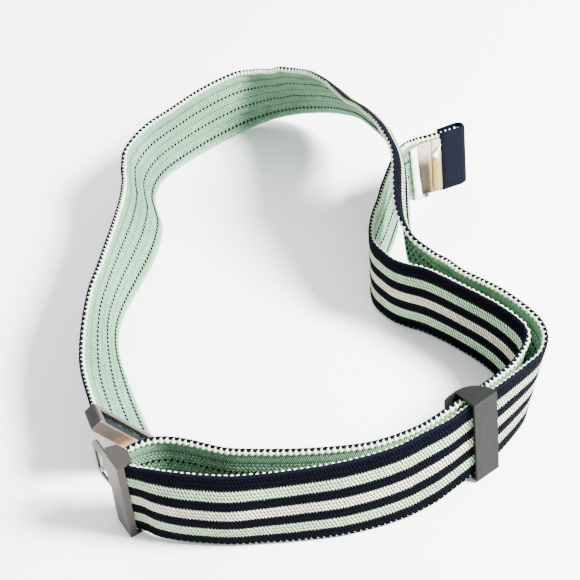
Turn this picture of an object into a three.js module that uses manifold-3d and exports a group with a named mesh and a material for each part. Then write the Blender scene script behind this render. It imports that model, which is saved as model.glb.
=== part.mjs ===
// A knitted webbing belt, bunched up and standing on its lower edge. One long strap leaves a loop
// frame, runs up the left side and round the back, rides over its own tail on the right, turns
// through a slider, goes along the front, folds round the bar of a hook plate and comes back
// through the slider to end in a bound tail. Sizes are millimetres, angles are degrees, +Z is up.
import * as THREE from 'three';
import { mergeVertices } from 'three/addons/utils/BufferGeometryUtils.js';
import Module from 'manifold-3d';

const wasm = await Module();
wasm.setup();

// Driving sizes of the strap and its cloth trim
const strapWidth = 40;
const strapThickness = 2.2;
const strapStep = 5;
const widthDivisions = 4;
const clothGap = 0.3;
const tapeWall = 1;
const strapEndInset = 1.8;

// Driving sizes of the sheet metal
const sliderSheet = 1.2;
const hookSheet = 0.9;

// The footprint's centre, which becomes the origin
const footprintCentreX = 6.9;
const footprintCentreY = -6.4;

const radians = THREE.MathUtils.degToRad;
const up = new THREE.Vector3(0, 0, 1);

// Rows of the strap's route: x, y, lift, lean, rake, curl. x and y place the middle of the lower
// edge, lift is its height over the ground, lean tips the top to the left of the way the strap
// runs, rake tips it forwards, and curl is the turn across the width. Rake and curl are 0 where
// a row leaves them out.
const leftSide = [
  [-64.1, -101, 2.8, 36],
  [-74.8, -68.5, 0.3, 30],
  [-83.8, -35.5, 0, 12],
  [-83, -13, 0, 6],
  [-67.6, 30.5, 0, 18],
  [-63.6, 52.5, 0, 22],
  [-65.2, 64, 0, 21],
  [-67.6, 75, 0, 16],
  [-67.6, 86, 0, 7],
  [-64, 97, 0, 1],
  [-57, 106.6, 0, -2],
];

const backSide = [
  [-39, 122.8, 0, 0],
  [-20, 136.8, 0, -1],
  [-11, 141.6, 0.3, -6, -3],
  [-1.4, 143.2, 2.3, -12, -6],
  [8.2, 141.6, 5, -18, -8],
  [17, 137.4, 8.4, -20.5, -8],
];

const humpOverTail = [
  [32.4, 126, 15, -26.5, -4, -6],
  [43.6, 111, 21.7, -31.5, 6, -18],
  [47.7, 102.4, 24.7, -32.5, 11, -24],
  [53, 83.5, 30.4, -31, 17, -34],
  [56.2, 64.5, 37.2, -26.5, 18, -42],
  [57.4, 45.5, 41.2, -19, 18, -47],
  [57.4, 36, 41.2, -14, 17, -48],
  [57.2, 17, 36.4, -6.5, 15, -45],
  [57.4, -2, 25, -9.5, 14, -39],
  [58.6, -11.5, 18, -11.5, 12, -32],
  [62.1, -20, 11.6, -11.5, 10, -24],
  [68.2, -28, 6.4, -8.5, 7, -14],
  [74.6, -35.4, 2.6, -4, 4, -5],
  [79.2, -44, 0.3, 1, 2],
];

const rightBend = [
  [91.4, -60, 0, 5],
  [98.2, -77, 0, 11],
  [99.6, -86, 0, 12],
  [98.8, -95, 0, 9],
  [94.8, -103.6, 0.3, 4],
];

const frontOuterLayer = [
  [79.4, -123, 2.1, -3],
  [74.2, -127.2, 2.1, -4],
  [68.2, -131.8, 2.1, -4],
  [60.6, -137.2, 1.6, -4, 0, -2],
  [53, -142.4, 0.9, -6.5, 0, -5],
  [38, -149.2, 0.3, -6, 0, -8],
  [16, -154.2, 0, -5.5, 0, -13],
  [-4, -155.4, 0, -4, 0, -11],
  [-20, -155, 0, -2.5, 0, -18],
  [-32, -154.4, 0, -2.5, 0, -27],
  [-44, -152.8, 0.4, -3, 0, -26],
  [-54, -150.9, 0.9, -3, 0, -22],
  [-62.5, -148.2, 1.2, -2.5, 0, -11],
  [-67.5, -144.9, 1.3, 0],
];

const frontInnerLayer = [
  [-71.4, -134.4, 1.3, 0],
  [-66.2, -131.6, 1.3, 0],
  [-58.4, -130.8, 1.2, 1],
  [-49.8, -133, 0.9, 2],
  [-28, -140.8, 0.3, 2],
  [22, -144.6, 0.1, 3],
  [48, -139, 0.9, 4.5],
  [65.8, -127.6, 2.1, 4],
  [78.2, -118.9, 2.1, 4],
];

const tail = [
  [86.4, -109, 1, 1],
  [89.2, -102.6, 0.5, -3],
  [92.8, -89, 0, -9],
  [93.4, -82, 0, -9],
  [88.2, -67.4, 0, -3],
  [76, -51.8, 0, 0],
  [62.6, -39.2, 0, 0],
  [53.3, -33.3, 0, 1],
  [48.3, -29.3, 0, 1],
  [44, -23.8, 0, 0],
  [41.2, -18.6, 0, 0],
  [40, -13, 0, 0],
  [40.3, -5, 0, -0.5],
  [44, 5, 0, 1.5],
  [48.6, 14, 0, 3.5],
  [52.4, 24.5, 0, 4.5],
  [56.6, 37, 0, 4.5],
  [58, 45.6, 0, 2],
  [60, 54, 0, -1, -1],
  [64, 60.8, 0, -3, -3],
  [71, 65.6, 0, -5, -5],
  [78.6, 68.4, 0, -6, -6],
  [98.1, 76, 0, -6, -6],
];

// The fold round the hook plate's bar: an arc about the bar, from the first heading to the last
const hookFold = {
  centreX: -72.7,
  centreY: -139.4,
  radius: 3,
  firstHeading: 152,
  lastHeading: 48,
  rows: 7,
  lift: 1.3,
};

function foldRows(fold) {
  const rows = [];
  for (let i = 0; i < fold.rows; i += 1) {
    const turn = (fold.lastHeading - fold.firstHeading) * (i / (fold.rows - 1));
    const heading = radians(fold.firstHeading + turn);
    const x = fold.centreX - fold.radius * Math.sin(heading);
    const y = fold.centreY + fold.radius * Math.cos(heading);
    rows.push([x, y, fold.lift, 0]);
  }
  return rows;
}

const route = [
  ...leftSide,
  ...backSide,
  ...humpOverTail,
  ...rightBend,
  ...frontOuterLayer,
  ...foldRows(hookFold),
  ...frontInnerLayer,
  ...tail,
].map(([x, y, lift, lean, rake = 0, curl = 0]) => [x, y, lift, lean, rake, curl]);

// Distance along the route at each row, by the chords of the lower edge
const reach = [0];
for (let i = 1; i < route.length; i += 1) {
  const [x0, y0, lift0] = route[i - 1];
  const [x1, y1, lift1] = route[i];
  reach.push(reach[i - 1] + Math.hypot(x1 - x0, y1 - y0, lift1 - lift0));
}
const routeLength = reach[reach.length - 1];
const strapEnd = routeLength - strapEndInset;

// Slope of every column at a row, from the rows on either side of it
function slopeAt(i) {
  const before = Math.max(i - 1, 0);
  const after = Math.min(i + 1, route.length - 1);
  const span = reach[after] - reach[before];
  return route[i].map((_, column) => (route[after][column] - route[before][column]) / span);
}

// A smooth row at any distance along the route
function rowAt(distance) {
  let i = 0;
  while (i < route.length - 2 && reach[i + 1] < distance) {
    i += 1;
  }
  const span = reach[i + 1] - reach[i];
  const t = (distance - reach[i]) / span;
  const slopeIn = slopeAt(i);
  const slopeOut = slopeAt(i + 1);
  return route[i].map((value, column) => {
    const next = route[i + 1][column];
    const stay = (2 * t ** 3 - 3 * t ** 2 + 1) * value;
    const leave = (t ** 3 - 2 * t ** 2 + t) * span * slopeIn[column];
    const arrive = (3 * t ** 2 - 2 * t ** 3) * next;
    const settle = (t ** 3 - t ** 2) * span * slopeOut[column];
    return stay + leave + arrive + settle;
  });
}

function lowerEdgeAt(distance) {
  const [x, y, lift] = rowAt(distance);
  return new THREE.Vector3(x, y, Math.max(lift, 0));
}

// One crossways line of a ribbon: points up its middle, and the face normal at each of them.
// The normal points to the left of the way the strap runs, which is the striped side.
function crossLine(distance, ribbon) {
  const probe = 0.5;
  const travel = lowerEdgeAt(distance + probe).sub(lowerEdgeAt(distance - probe)).normalize();
  const left = new THREE.Vector3(-travel.y, travel.x, 0).normalize();
  const ahead = new THREE.Vector3(travel.x, travel.y, 0).normalize();
  const [, , , lean, rake, curl] = rowAt(distance);
  const raised = up.clone().multiplyScalar(Math.cos(radians(rake)));
  raised.addScaledVector(ahead, Math.sin(radians(rake)));
  const across = (share) => {
    const angle = radians(lean + curl * (share - 0.5));
    const direction = raised.clone().multiplyScalar(Math.cos(angle));
    return direction.addScaledVector(left, Math.sin(angle));
  };
  const normalAt = (share) => across(share).cross(travel).normalize();
  const point = lowerEdgeAt(distance);
  point.z += (ribbon.thickness / 2) * Math.abs(Math.sin(radians(lean - curl / 2)));
  point.addScaledVector(across(0), ribbon.raisedBy);
  const points = [];
  const normals = [];
  const stretch = ribbon.width / strapWidth;
  for (let k = 0; k <= widthDivisions; k += 1) {
    const normal = normalAt(k / widthDivisions);
    points.push(point.clone().addScaledVector(normal, ribbon.offset));
    normals.push(normal);
    const middle = (k + 0.5) / widthDivisions;
    point.addScaledVector(across(middle), (stretch * strapWidth) / widthDivisions);
  }
  return { points, normals };
}

// Distances at which a ribbon is cut into sections, with every row between its ends kept
function sectionDistances(from, to) {
  const marks = [from, ...reach.filter((d) => d > from && d < to), to];
  const distances = [from];
  for (let i = 1; i < marks.length; i += 1) {
    const span = marks[i] - marks[i - 1];
    const count = Math.ceil(span / strapStep);
    for (let k = 1; k <= count; k += 1) {
      distances.push(marks[i - 1] + (span * k) / count);
    }
  }
  return distances;
}

// A closed band of cloth along the route, standing on its edge
function ribbonGeometry(settings) {
  const ribbon = { offset: 0, raisedBy: 0, width: strapWidth, ...settings };
  const distances = sectionDistances(ribbon.from, ribbon.to);
  const side = widthDivisions + 1;
  const ring = 2 * side;
  const positions = [];
  for (const distance of distances) {
    const { points, normals } = crossLine(distance, ribbon);
    const half = ribbon.thickness / 2;
    const striped = points.map((p, k) => p.clone().addScaledVector(normals[k], half));
    const plain = points.map((p, k) => p.clone().addScaledVector(normals[k], -half));
    for (const corner of [...striped, ...plain.reverse()]) {
      positions.push(corner.x, corner.y, corner.z);
    }
  }
  const faces = [];
  const quad = (a, b, c, d) => faces.push(a, b, c, a, c, d);
  for (let s = 0; s < distances.length - 1; s += 1) {
    for (let k = 0; k < ring; k += 1) {
      const near = s * ring;
      const far = near + ring;
      const next = (k + 1) % ring;
      quad(near + k, near + next, far + next, far + k);
    }
  }
  const last = (distances.length - 1) * ring;
  for (let k = 0; k < widthDivisions; k += 1) {
    quad(k, ring - 1 - k, ring - 2 - k, k + 1);
    quad(last + k, last + k + 1, last + ring - 2 - k, last + ring - 1 - k);
  }
  const geometry = new THREE.BufferGeometry();
  geometry.setAttribute('position', new THREE.Float32BufferAttribute(positions, 3));
  geometry.setIndex(faces);
  geometry.computeVertexNormals();
  return geometry;
}

function solidOf(geometry) {
  const bare = geometry.clone();
  bare.deleteAttribute('normal');
  bare.deleteAttribute('uv');
  const merged = mergeVertices(bare);
  const vertProperties = new Float32Array(merged.attributes.position.array);
  const triVerts = new Uint32Array(merged.index.array);
  return new wasm.Manifold(new wasm.Mesh({ numProp: 3, vertProperties, triVerts }));
}

function geometryOf(solid) {
  const mesh = solid.getMesh();
  const geometry = new THREE.BufferGeometry();
  geometry.setAttribute('position', new THREE.Float32BufferAttribute(mesh.vertProperties, 3));
  geometry.setIndex([...mesh.triVerts]);
  geometry.computeVertexNormals();
  return geometry;
}

function join(geometries) {
  return geometries.map(solidOf).reduce((whole, piece) => whole.add(piece));
}

// A box given by its lowest corner and its size
function block(x, y, z, width, depth, height) {
  const geometry = new THREE.BoxGeometry(width, depth, height);
  return geometry.translate(x + width / 2, y + depth / 2, z + height / 2);
}

// A flat plate from an outline in plan, between two heights
function plate(shape, bottom, thickness) {
  const settings = { depth: thickness, bevelEnabled: false, curveSegments: 12 };
  return new THREE.ExtrudeGeometry(shape, settings).translate(0, 0, bottom);
}

function outline(points) {
  return new THREE.Shape(points.map(([x, y]) => new THREE.Vector2(x, y)));
}

function strap() {
  return ribbonGeometry({ from: 0, to: strapEnd, thickness: strapThickness });
}

// The bound end of the tail: a folded tape that wraps both faces and the cut edge
function endCap() {
  const length = 14.6;
  const height = 41;
  const raisedBy = 0.2;
  const noseGap = 0.4;
  const mouth = 3;
  const past = 6;
  const innerThickness = strapThickness + 2 * clothGap;
  const from = routeLength - length;
  const shell = ribbonGeometry({
    from,
    to: routeLength,
    thickness: innerThickness + 2 * tapeWall,
    width: height,
    raisedBy,
  });
  const hollow = ribbonGeometry({
    from: from - mouth,
    to: strapEnd + noseGap,
    thickness: innerThickness,
    width: height + 2 * past,
    raisedBy: raisedBy - past,
  });
  return geometryOf(solidOf(shell).subtract(solidOf(hollow)));
}

// A satin label sewn to the plain side of the tail, given by its distances from the tail's end
function label(fromEnd, toEnd, width, raisedBy) {
  const thickness = 1;
  return ribbonGeometry({
    from: routeLength - fromEnd,
    to: routeLength - toEnd,
    thickness,
    width,
    raisedBy,
    offset: -(strapThickness / 2 + clothGap + thickness / 2),
  });
}

// The slider in its own axes: x along its front face, y through its depth, z up
const slider = {
  width: 12.7,
  depth: 12,
  height: 44,
  x: 71.9,
  y: -133.5,
  z: 0.9,
  heading: 35,
  tilt: 4,
};

function sliderGeometry() {
  const endPlate = new THREE.Shape();
  endPlate.moveTo(0, 0);
  endPlate.lineTo(slider.width, 0);
  endPlate.absellipse(0, 0, slider.width, slider.depth, 0, Math.PI / 2, false, 0);
  endPlate.lineTo(0, 0);

  // The leaf starts on the end plates' round edge and bows out behind the strap
  const leafSheet = 1;
  const leafInset = 0.2;
  const rootX = 3;
  const rootY = 11.7;
  const bowX = -3;
  const bowY = 12.6;
  const tipX = -6.5;
  const tipY = 11;
  const leaf = new THREE.Shape();
  leaf.moveTo(rootX, rootY);
  leaf.quadraticCurveTo(bowX, bowY, tipX, tipY);
  leaf.lineTo(tipX, tipY - leafSheet);
  leaf.quadraticCurveTo(bowX, bowY - leafSheet, rootX, rootY - leafSheet);
  leaf.lineTo(rootX, rootY);

  return geometryOf(join([
    block(0, 0, 0, slider.width, sliderSheet, slider.height),
    plate(endPlate, 0, sliderSheet),
    plate(endPlate, slider.height - sliderSheet, sliderSheet),
    plate(leaf, leafInset, slider.height - 2 * leafInset),
  ]));
}

// The hook plate in its own axes: x into the belt from the outer wall, y along the wall, z up
const hookPlate = {
  height: 42.5,
  wallLength: 12.3,
  flangeLength: 3.2,
  barRadius: 1.6,
  x: -74.9,
  y: -146.5,
  heading: 28,
};

function hookPlateGeometry() {
  const endPlate = outline([[0, 0], [6.9, 0.3], [8.6, 7], [6.2, 12.4], [1.6, 13.6], [0, 12.3]]);
  const bar = new THREE.CylinderGeometry(
    hookPlate.barRadius, hookPlate.barRadius, hookPlate.height - hookSheet, 20);
  bar.rotateX(Math.PI / 2);
  const barCentre = new THREE.Vector2(hookFold.centreX - hookPlate.x, hookFold.centreY - hookPlate.y);
  barCentre.rotateAround(new THREE.Vector2(), -radians(hookPlate.heading));
  bar.translate(barCentre.x, barCentre.y, hookPlate.height / 2);

  // The tongue stands in the wall's plane: an outline and two windows in y and z
  const tongue = outline([
    [11.5, 21], [22.6, 18.4], [24.9, 19.6], [24.9, 37], [20, 42.2], [11.5, hookPlate.height],
  ]);
  tongue.holes.push(outline([[14.6, 36.4], [18.4, 26.4], [23.2, 22.4], [23.2, 33.4]]));
  tongue.holes.push(outline([[13.6, 22.2], [21.2, 21.2], [13.9, 29.4]]));
  const tongueGeometry = plate(tongue, 0, hookSheet);
  const sideways = new THREE.Matrix4().makeBasis(
    new THREE.Vector3(0, 1, 0),
    new THREE.Vector3(0, 0, 1),
    new THREE.Vector3(1, 0, 0),
  );
  tongueGeometry.applyMatrix4(sideways);

  return geometryOf(join([
    block(0, 0, 0, hookSheet, hookPlate.wallLength, hookPlate.height),
    block(0, 0, 0, hookPlate.flangeLength, hookSheet, hookPlate.height),
    plate(endPlate, 0, hookSheet),
    plate(endPlate, hookPlate.height - hookSheet, hookSheet),
    bar,
    tongueGeometry,
  ]));
}

// The loop frame in its own axes: x down its long side, y from the strap's side to the front,
// z through its thickness. Its strap side follows the start of the route.
const loopFrame = {
  length: 44,
  depth: 12,
  thickness: 6.3,
  edge: 0.5,
  strapHeading: 108,
  strapLean: 36,
  x: -86.3,
  y: -104.6,
  z: 39.4,
};
const slot = { start: 3, end: 41, back: 3.3, front: 11.1 };
const pocket = { start: 1.5, end: 42.5, depth: 3.8, bottom: 1.5, height: 3.5 };

function loopFrameGeometry() {
  const { length, depth, thickness, edge } = loopFrame;
  const face = outline([
    [edge, edge], [length - edge, edge], [length - edge, depth - edge], [edge, depth - edge],
  ]);
  const body = new THREE.ExtrudeGeometry(face, {
    depth: thickness - 2 * edge,
    bevelEnabled: true,
    bevelThickness: edge,
    bevelSize: edge,
    bevelSegments: 1,
  });
  body.translate(0, 0, edge);
  const past = 1;
  const slotCut = block(
    slot.start, slot.back, -past, slot.end - slot.start, slot.front - slot.back, thickness + 2 * past);
  const pocketCut = block(
    pocket.start, -past, pocket.bottom, pocket.end - pocket.start, pocket.depth + past, pocket.height);
  return geometryOf(solidOf(body).subtract(solidOf(slotCut)).subtract(solidOf(pocketCut)));
}

// The folded tape on the strap's first end, which fills the loop frame's slot
function startTapeGeometry() {
  const back = strapStartInset() + clothGap;
  const front = slot.front - clothGap;
  const recess = 0.9;
  const low = recess;
  const high = loopFrame.thickness - recess;
  const round = 0.8;
  const profile = new THREE.Shape();
  profile.moveTo(back, low + round);
  profile.quadraticCurveTo(back, low, back + round, low);
  profile.lineTo(front - round, low);
  profile.quadraticCurveTo(front, low, front, low + round);
  profile.lineTo(front, high - round);
  profile.quadraticCurveTo(front, high, front - round, high);
  profile.lineTo(back + round, high);
  profile.quadraticCurveTo(back, high, back, high - round);
  const length = slot.end - slot.start - 2 * clothGap;
  const settings = { depth: length, bevelEnabled: false, curveSegments: 4 };
  const tape = new THREE.ExtrudeGeometry(profile, settings);
  const alongFrame = new THREE.Matrix4().makeBasis(
    new THREE.Vector3(0, 1, 0),
    new THREE.Vector3(0, 0, 1),
    new THREE.Vector3(1, 0, 0),
  );
  return tape.applyMatrix4(alongFrame).translate(slot.start + clothGap, 0, 0);
}

// Turns the loop frame's own axes into the belt's
function loopFrameMatrix() {
  const heading = radians(loopFrame.strapHeading);
  const lean = radians(loopFrame.strapLean);
  const front = new THREE.Vector3(-Math.cos(heading), -Math.sin(heading), 0);
  const left = new THREE.Vector3(-Math.sin(heading), Math.cos(heading), 0);
  const down = up.clone().multiplyScalar(-Math.cos(lean)).addScaledVector(left, -Math.sin(lean));
  const outward = down.clone().cross(front);
  const matrix = new THREE.Matrix4().makeBasis(down, front, outward);
  return matrix.setPosition(loopFrame.x, loopFrame.y, loopFrame.z);
}

// How far the strap's first end lies inside the loop frame's strap side
function strapStartInset() {
  const start = lowerEdgeAt(0);
  return start.applyMatrix4(loopFrameMatrix().invert()).y;
}

const finishes = {
  webbing: { color: 0x33384a, roughness: 0.9, metalness: 0 },
  navyTape: { color: 0x20293a, roughness: 0.85, metalness: 0 },
  whiteSatin: { color: 0xefeae0, roughness: 0.6, metalness: 0 },
  beigeSatin: { color: 0xd9cdb4, roughness: 0.6, metalness: 0 },
  darkMetal: { color: 0x68696a, roughness: 0.45, metalness: 0.8 },
  warmNickel: { color: 0xa59b94, roughness: 0.4, metalness: 0.85 },
};

const group = new THREE.Group();
group.position.set(-footprintCentreX, -footprintCentreY, 0);

function addPiece(name, geometry, finish) {
  const mesh = new THREE.Mesh(geometry, new THREE.MeshStandardMaterial(finishes[finish]));
  mesh.name = name;
  group.add(mesh);
  return mesh;
}

addPiece('webbing', strap(), 'webbing');
addPiece('end_cap', endCap(), 'navyTape');
addPiece('label_white', label(32, 26.8, 37, 0.8), 'whiteSatin');
addPiece('label_beige', label(26.4, 20.6, 36, 1.5), 'beigeSatin');
addPiece('label_corner', label(20.2, 15, 36, 1.5), 'beigeSatin');

const sliderMesh = addPiece('slider', sliderGeometry(), 'darkMetal');
sliderMesh.rotation.set(radians(-slider.tilt), 0, radians(slider.heading), 'ZXY');
sliderMesh.position.set(slider.x, slider.y, slider.z);

const hookMesh = addPiece('hook_plate', hookPlateGeometry(), 'warmNickel');
hookMesh.rotation.z = radians(hookPlate.heading);
hookMesh.position.set(hookPlate.x, hookPlate.y, 0);

for (const [name, geometry, finish] of [
  ['loop_frame', loopFrameGeometry(), 'warmNickel'],
  ['start_tape', startTapeGeometry(), 'navyTape'],
]) {
  const mesh = addPiece(name, geometry, finish);
  loopFrameMatrix().decompose(mesh.position, mesh.quaternion, mesh.scale);
}

export default group;
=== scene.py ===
"""Blender look of a knitted webbing belt that stands bunched up on its lower edge.

The strap follows the same rows as its solid. Its knit, picots, dashed lines, tapes, labels and
metal fittings are made here, each by an operator of its own. Lengths are metres.
"""

import math

import bmesh
import bpy
import numpy as np
from mathutils import Matrix, Vector


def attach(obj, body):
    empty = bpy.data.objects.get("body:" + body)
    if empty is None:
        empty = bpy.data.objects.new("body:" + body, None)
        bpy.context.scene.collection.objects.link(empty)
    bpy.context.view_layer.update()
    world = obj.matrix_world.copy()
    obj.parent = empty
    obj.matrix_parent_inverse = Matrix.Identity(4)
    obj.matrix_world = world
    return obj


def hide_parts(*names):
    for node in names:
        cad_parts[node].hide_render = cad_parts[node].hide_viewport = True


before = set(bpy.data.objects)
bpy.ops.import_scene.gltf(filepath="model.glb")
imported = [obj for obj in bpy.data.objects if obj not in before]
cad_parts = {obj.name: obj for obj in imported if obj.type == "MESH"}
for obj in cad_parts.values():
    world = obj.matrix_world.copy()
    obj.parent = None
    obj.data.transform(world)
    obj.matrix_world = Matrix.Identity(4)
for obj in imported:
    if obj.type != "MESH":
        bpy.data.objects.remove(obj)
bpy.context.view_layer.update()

bl_info = {
    "name": "Knitted webbing belt",
    "version": (1, 0, 0),
    "blender": (4, 5, 0),
    "location": "View3D > Sidebar > Belt",
    "description": "Dresses the belt's solids with knit, picots, tapes, labels and worn metal",
    "category": "Object",
}

MM = 0.001

# Rows of the strap's route: x, y, lift, lean, rake, curl. x and y place the middle of the lower
# edge and lift is its height over the ground, in metres. lean tips the top to the left of the way
# the strap runs, rake tips it forwards and curl is the turn across the width, in degrees.
LEFT_SIDE = [
    (-0.0641, -0.101, 0.0028, 36),
    (-0.0748, -0.0685, 0.0003, 30),
    (-0.0838, -0.0355, 0, 12),
    (-0.083, -0.013, 0, 6),
    (-0.0676, 0.0305, 0, 18),
    (-0.0636, 0.0525, 0, 22),
    (-0.0652, 0.064, 0, 21),
    (-0.0676, 0.075, 0, 16),
    (-0.0676, 0.086, 0, 7),
    (-0.064, 0.097, 0, 1),
    (-0.057, 0.1066, 0, -2),
]

BACK_SIDE = [
    (-0.039, 0.1228, 0, 0),
    (-0.02, 0.1368, 0, -1),
    (-0.011, 0.1416, 0.0003, -6, -3),
    (-0.0014, 0.1432, 0.0023, -12, -6),
    (0.0082, 0.1416, 0.005, -18, -8),
    (0.017, 0.1374, 0.0084, -20.5, -8),
]

HUMP_OVER_TAIL = [
    (0.0324, 0.126, 0.015, -26.5, -4, -6),
    (0.0436, 0.111, 0.0217, -31.5, 6, -18),
    (0.0477, 0.1024, 0.0247, -32.5, 11, -24),
    (0.053, 0.0835, 0.0304, -31, 17, -34),
    (0.0562, 0.0645, 0.0372, -26.5, 18, -42),
    (0.0574, 0.0455, 0.0412, -19, 18, -47),
    (0.0574, 0.036, 0.0412, -14, 17, -48),
    (0.0572, 0.017, 0.0364, -6.5, 15, -45),
    (0.0574, -0.002, 0.025, -9.5, 14, -39),
    (0.0586, -0.0115, 0.018, -11.5, 12, -32),
    (0.0621, -0.02, 0.0116, -11.5, 10, -24),
    (0.0682, -0.028, 0.0064, -8.5, 7, -14),
    (0.0746, -0.0354, 0.0026, -4, 4, -5),
    (0.0792, -0.044, 0.0003, 1, 2),
]

RIGHT_BEND = [
    (0.0914, -0.06, 0, 5),
    (0.0982, -0.077, 0, 11),
    (0.0996, -0.086, 0, 12),
    (0.0988, -0.095, 0, 9),
    (0.0948, -0.1036, 0.0003, 4),
]

FRONT_OUTER_LAYER = [
    (0.0794, -0.123, 0.0021, -3),
    (0.0742, -0.1272, 0.0021, -4),
    (0.0682, -0.1318, 0.0021, -4),
    (0.0606, -0.1372, 0.0016, -4, 0, -2),
    (0.053, -0.1424, 0.0009, -6.5, 0, -5),
    (0.038, -0.1492, 0.0003, -6, 0, -8),
    (0.016, -0.1542, 0, -5.5, 0, -13),
    (-0.004, -0.1554, 0, -4, 0, -11),
    (-0.02, -0.155, 0, -2.5, 0, -18),
    (-0.032, -0.1544, 0, -2.5, 0, -27),
    (-0.044, -0.1528, 0.0004, -3, 0, -26),
    (-0.054, -0.1509, 0.0009, -3, 0, -22),
    (-0.0625, -0.1482, 0.0012, -2.5, 0, -11),
    (-0.0675, -0.1449, 0.0013, 0),
]

FRONT_INNER_LAYER = [
    (-0.0714, -0.1344, 0.0013, 0),
    (-0.0662, -0.1316, 0.0013, 0),
    (-0.0584, -0.1308, 0.0012, 1),
    (-0.0498, -0.133, 0.0009, 2),
    (-0.028, -0.1408, 0.0003, 2),
    (0.022, -0.1446, 0.0001, 3),
    (0.048, -0.139, 0.0009, 4.5),
    (0.0658, -0.1276, 0.0021, 4),
    (0.0782, -0.1189, 0.0021, 4),
]

TAIL = [
    (0.0864, -0.109, 0.001, 1),
    (0.0892, -0.1026, 0.0005, -3),
    (0.0928, -0.089, 0, -9),
    (0.0934, -0.082, 0, -9),
    (0.0882, -0.0674, 0, -3),
    (0.076, -0.0518, 0, 0),
    (0.0626, -0.0392, 0, 0),
    (0.0533, -0.0333, 0, 1),
    (0.0483, -0.0293, 0, 1),
    (0.044, -0.0238, 0, 0),
    (0.0412, -0.0186, 0, 0),
    (0.04, -0.013, 0, 0),
    (0.0403, -0.005, 0, -0.5),
    (0.044, 0.005, 0, 1.5),
    (0.0486, 0.014, 0, 3.5),
    (0.0524, 0.0245, 0, 4.5),
    (0.0566, 0.037, 0, 4.5),
    (0.058, 0.0456, 0, 2),
    (0.06, 0.054, 0, -1, -1),
    (0.064, 0.0608, 0, -3, -3),
    (0.071, 0.0656, 0, -5, -5),
    (0.0786, 0.0684, 0, -6, -6),
    (0.0981, 0.076, 0, -6, -6),
]

# The fold round the hook plate's bar: an arc about the bar, from the first heading to the last
FOLD_CENTRE = (-0.0727, -0.1394)
FOLD_RADIUS = 0.003
FOLD_HEADINGS = (152, 48)
FOLD_ROWS = 7
FOLD_LIFT = 0.0013

# The footprint's centre, which is the frame's origin
FOOTPRINT_CENTRE = (0.0069, -0.0064)

# The strap's width, thickness and stripes, and how far to either side its heading is taken from
STRAP_WIDTH = 0.04
STRAP_THICKNESS = 0.0022
STRIPES = 7
PROBE = 0.0005

# Borders of the seven stripes, as shares of the width from the bottom: the edge ones are wider
STRIPE_BORDERS = (0, 0.165, 0.299, 0.433, 0.567, 0.701, 0.835, 1)

# How far the borders swing with the knit, in stripes, and how many rows of stitches a stripe has
STRIPE_LUMP = 0.055
STRIPE_ROWS = 3.0

# The loop frame's own axes: its corner, and the heading and lean of the strap that it holds
LOOP_CORNER = (-0.0863, -0.1046, 0.0394)
LOOP_HEADING = 108
LOOP_LEAN = 36
LOOP_THICKNESS = 0.0063
LOOP_SLOT = {"start": 0.003, "end": 0.041, "back": 0.0033, "front": 0.0111}

# The corners, headings and tilt of the slider's and the hook plate's own axes
SLIDER_CORNER = (0.0719, -0.1335, 0.0009)
SLIDER_HEADING = 35
SLIDER_TILT = 4
HOOK_CORNER = (-0.0749, -0.1465, 0)
HOOK_HEADING = 28

# How far the strap's cut end stops short of the cap's nose, how far the knit's edges stay inside
# the strap's, and how far its plain side is sunk
END_SHORT = 0.0018
KNIT_TUCK = 0.0003
PLAIN_SUNK = 0.0001

# Where the strap tips towards its striped side, its soft upper rim rolls back upright by this
# share of the lean, up to this lean in degrees. The roll turns about the rim's middle, and fades
# out over the roll's depth below it.
ROLL_SHARE = 0.8
ROLL_STEEPEST = 40
ROLL_DEPTH = 0.0015
RIM_MIDDLE = 0.0006

# The first picot's distance along the strap, the bare stretch at the strap's end, and how far
# beyond each picot the rim cords are thinnest
FIRST_PICOT = 0.0035
BARE_END = 0.002
PICOT_LAG = 0.0006

# The pale yarn looped over each edge, a row for each ring of the loop, in millimetres: its depth
# below the edge, how far it stands towards the striped side, half its width, half its height, and
# how far it runs on along the strap
UPPER_PICOT = (
    (2.1, -0.95, 0.7, 0.1, 0),
    (1.6, -1.14, 0.86, 0.26, 0),
    (1.1, -1.24, 0.86, 0.42, 0),
    (0.6, -1.16, 0.84, 0.5, 0),
    (0.15, -0.95, 0.74, 0.44, 0),
    (-0.1, -0.65, 0.56, 0.34, 0.05),
    (-0.26, -0.35, 0.38, 0.22, 0.12),
    (-0.42, -0.08, 0.24, 0.16, 0.22),
    (-0.5, 0.2, 0.1, 0.1, 0.3),
)
LOWER_PICOT = (
    (3.0, -0.95, 0.8, 0.1, 0),
    (2.0, -1.1, 1.15, 0.2, 0),
    (1.2, -0.95, 1.2, 0.25, 0),
    (0.75, -0.4, 0.7, 0.25, 0.1),
    (0.7, 0.3, 0.3, 0.22, 0.3),
    (1.1, 0.95, 0.22, 0.2, 0.7),
    (2.0, 1.2, 0.15, 0.15, 1.2),
)

PICOTS = {
    "picots_upper": {"upper": True, "look": UPPER_PICOT, "seed": 7},
    "picots_lower": {"upper": False, "look": LOWER_PICOT, "seed": 8},
}

# The yarns along the edges: how deep below the edge, how far out towards the striped side, and
# their radius between the picots. At each picot they are thinner by the dip, as a share.
RIM_CORDS = {
    "rim_cord_pale": {"upper": True, "depth": 0.00088, "stand": -0.0008, "radius": 0.00044},
    "rim_cord_upper": {"upper": True, "depth": 0.00032, "stand": 0.00036, "radius": 0.00084},
    "rim_cord_lower": {"upper": False, "depth": 0.0011, "stand": 0.0005, "radius": 0.0005},
}
CORD_DIP = 0.18

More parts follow.
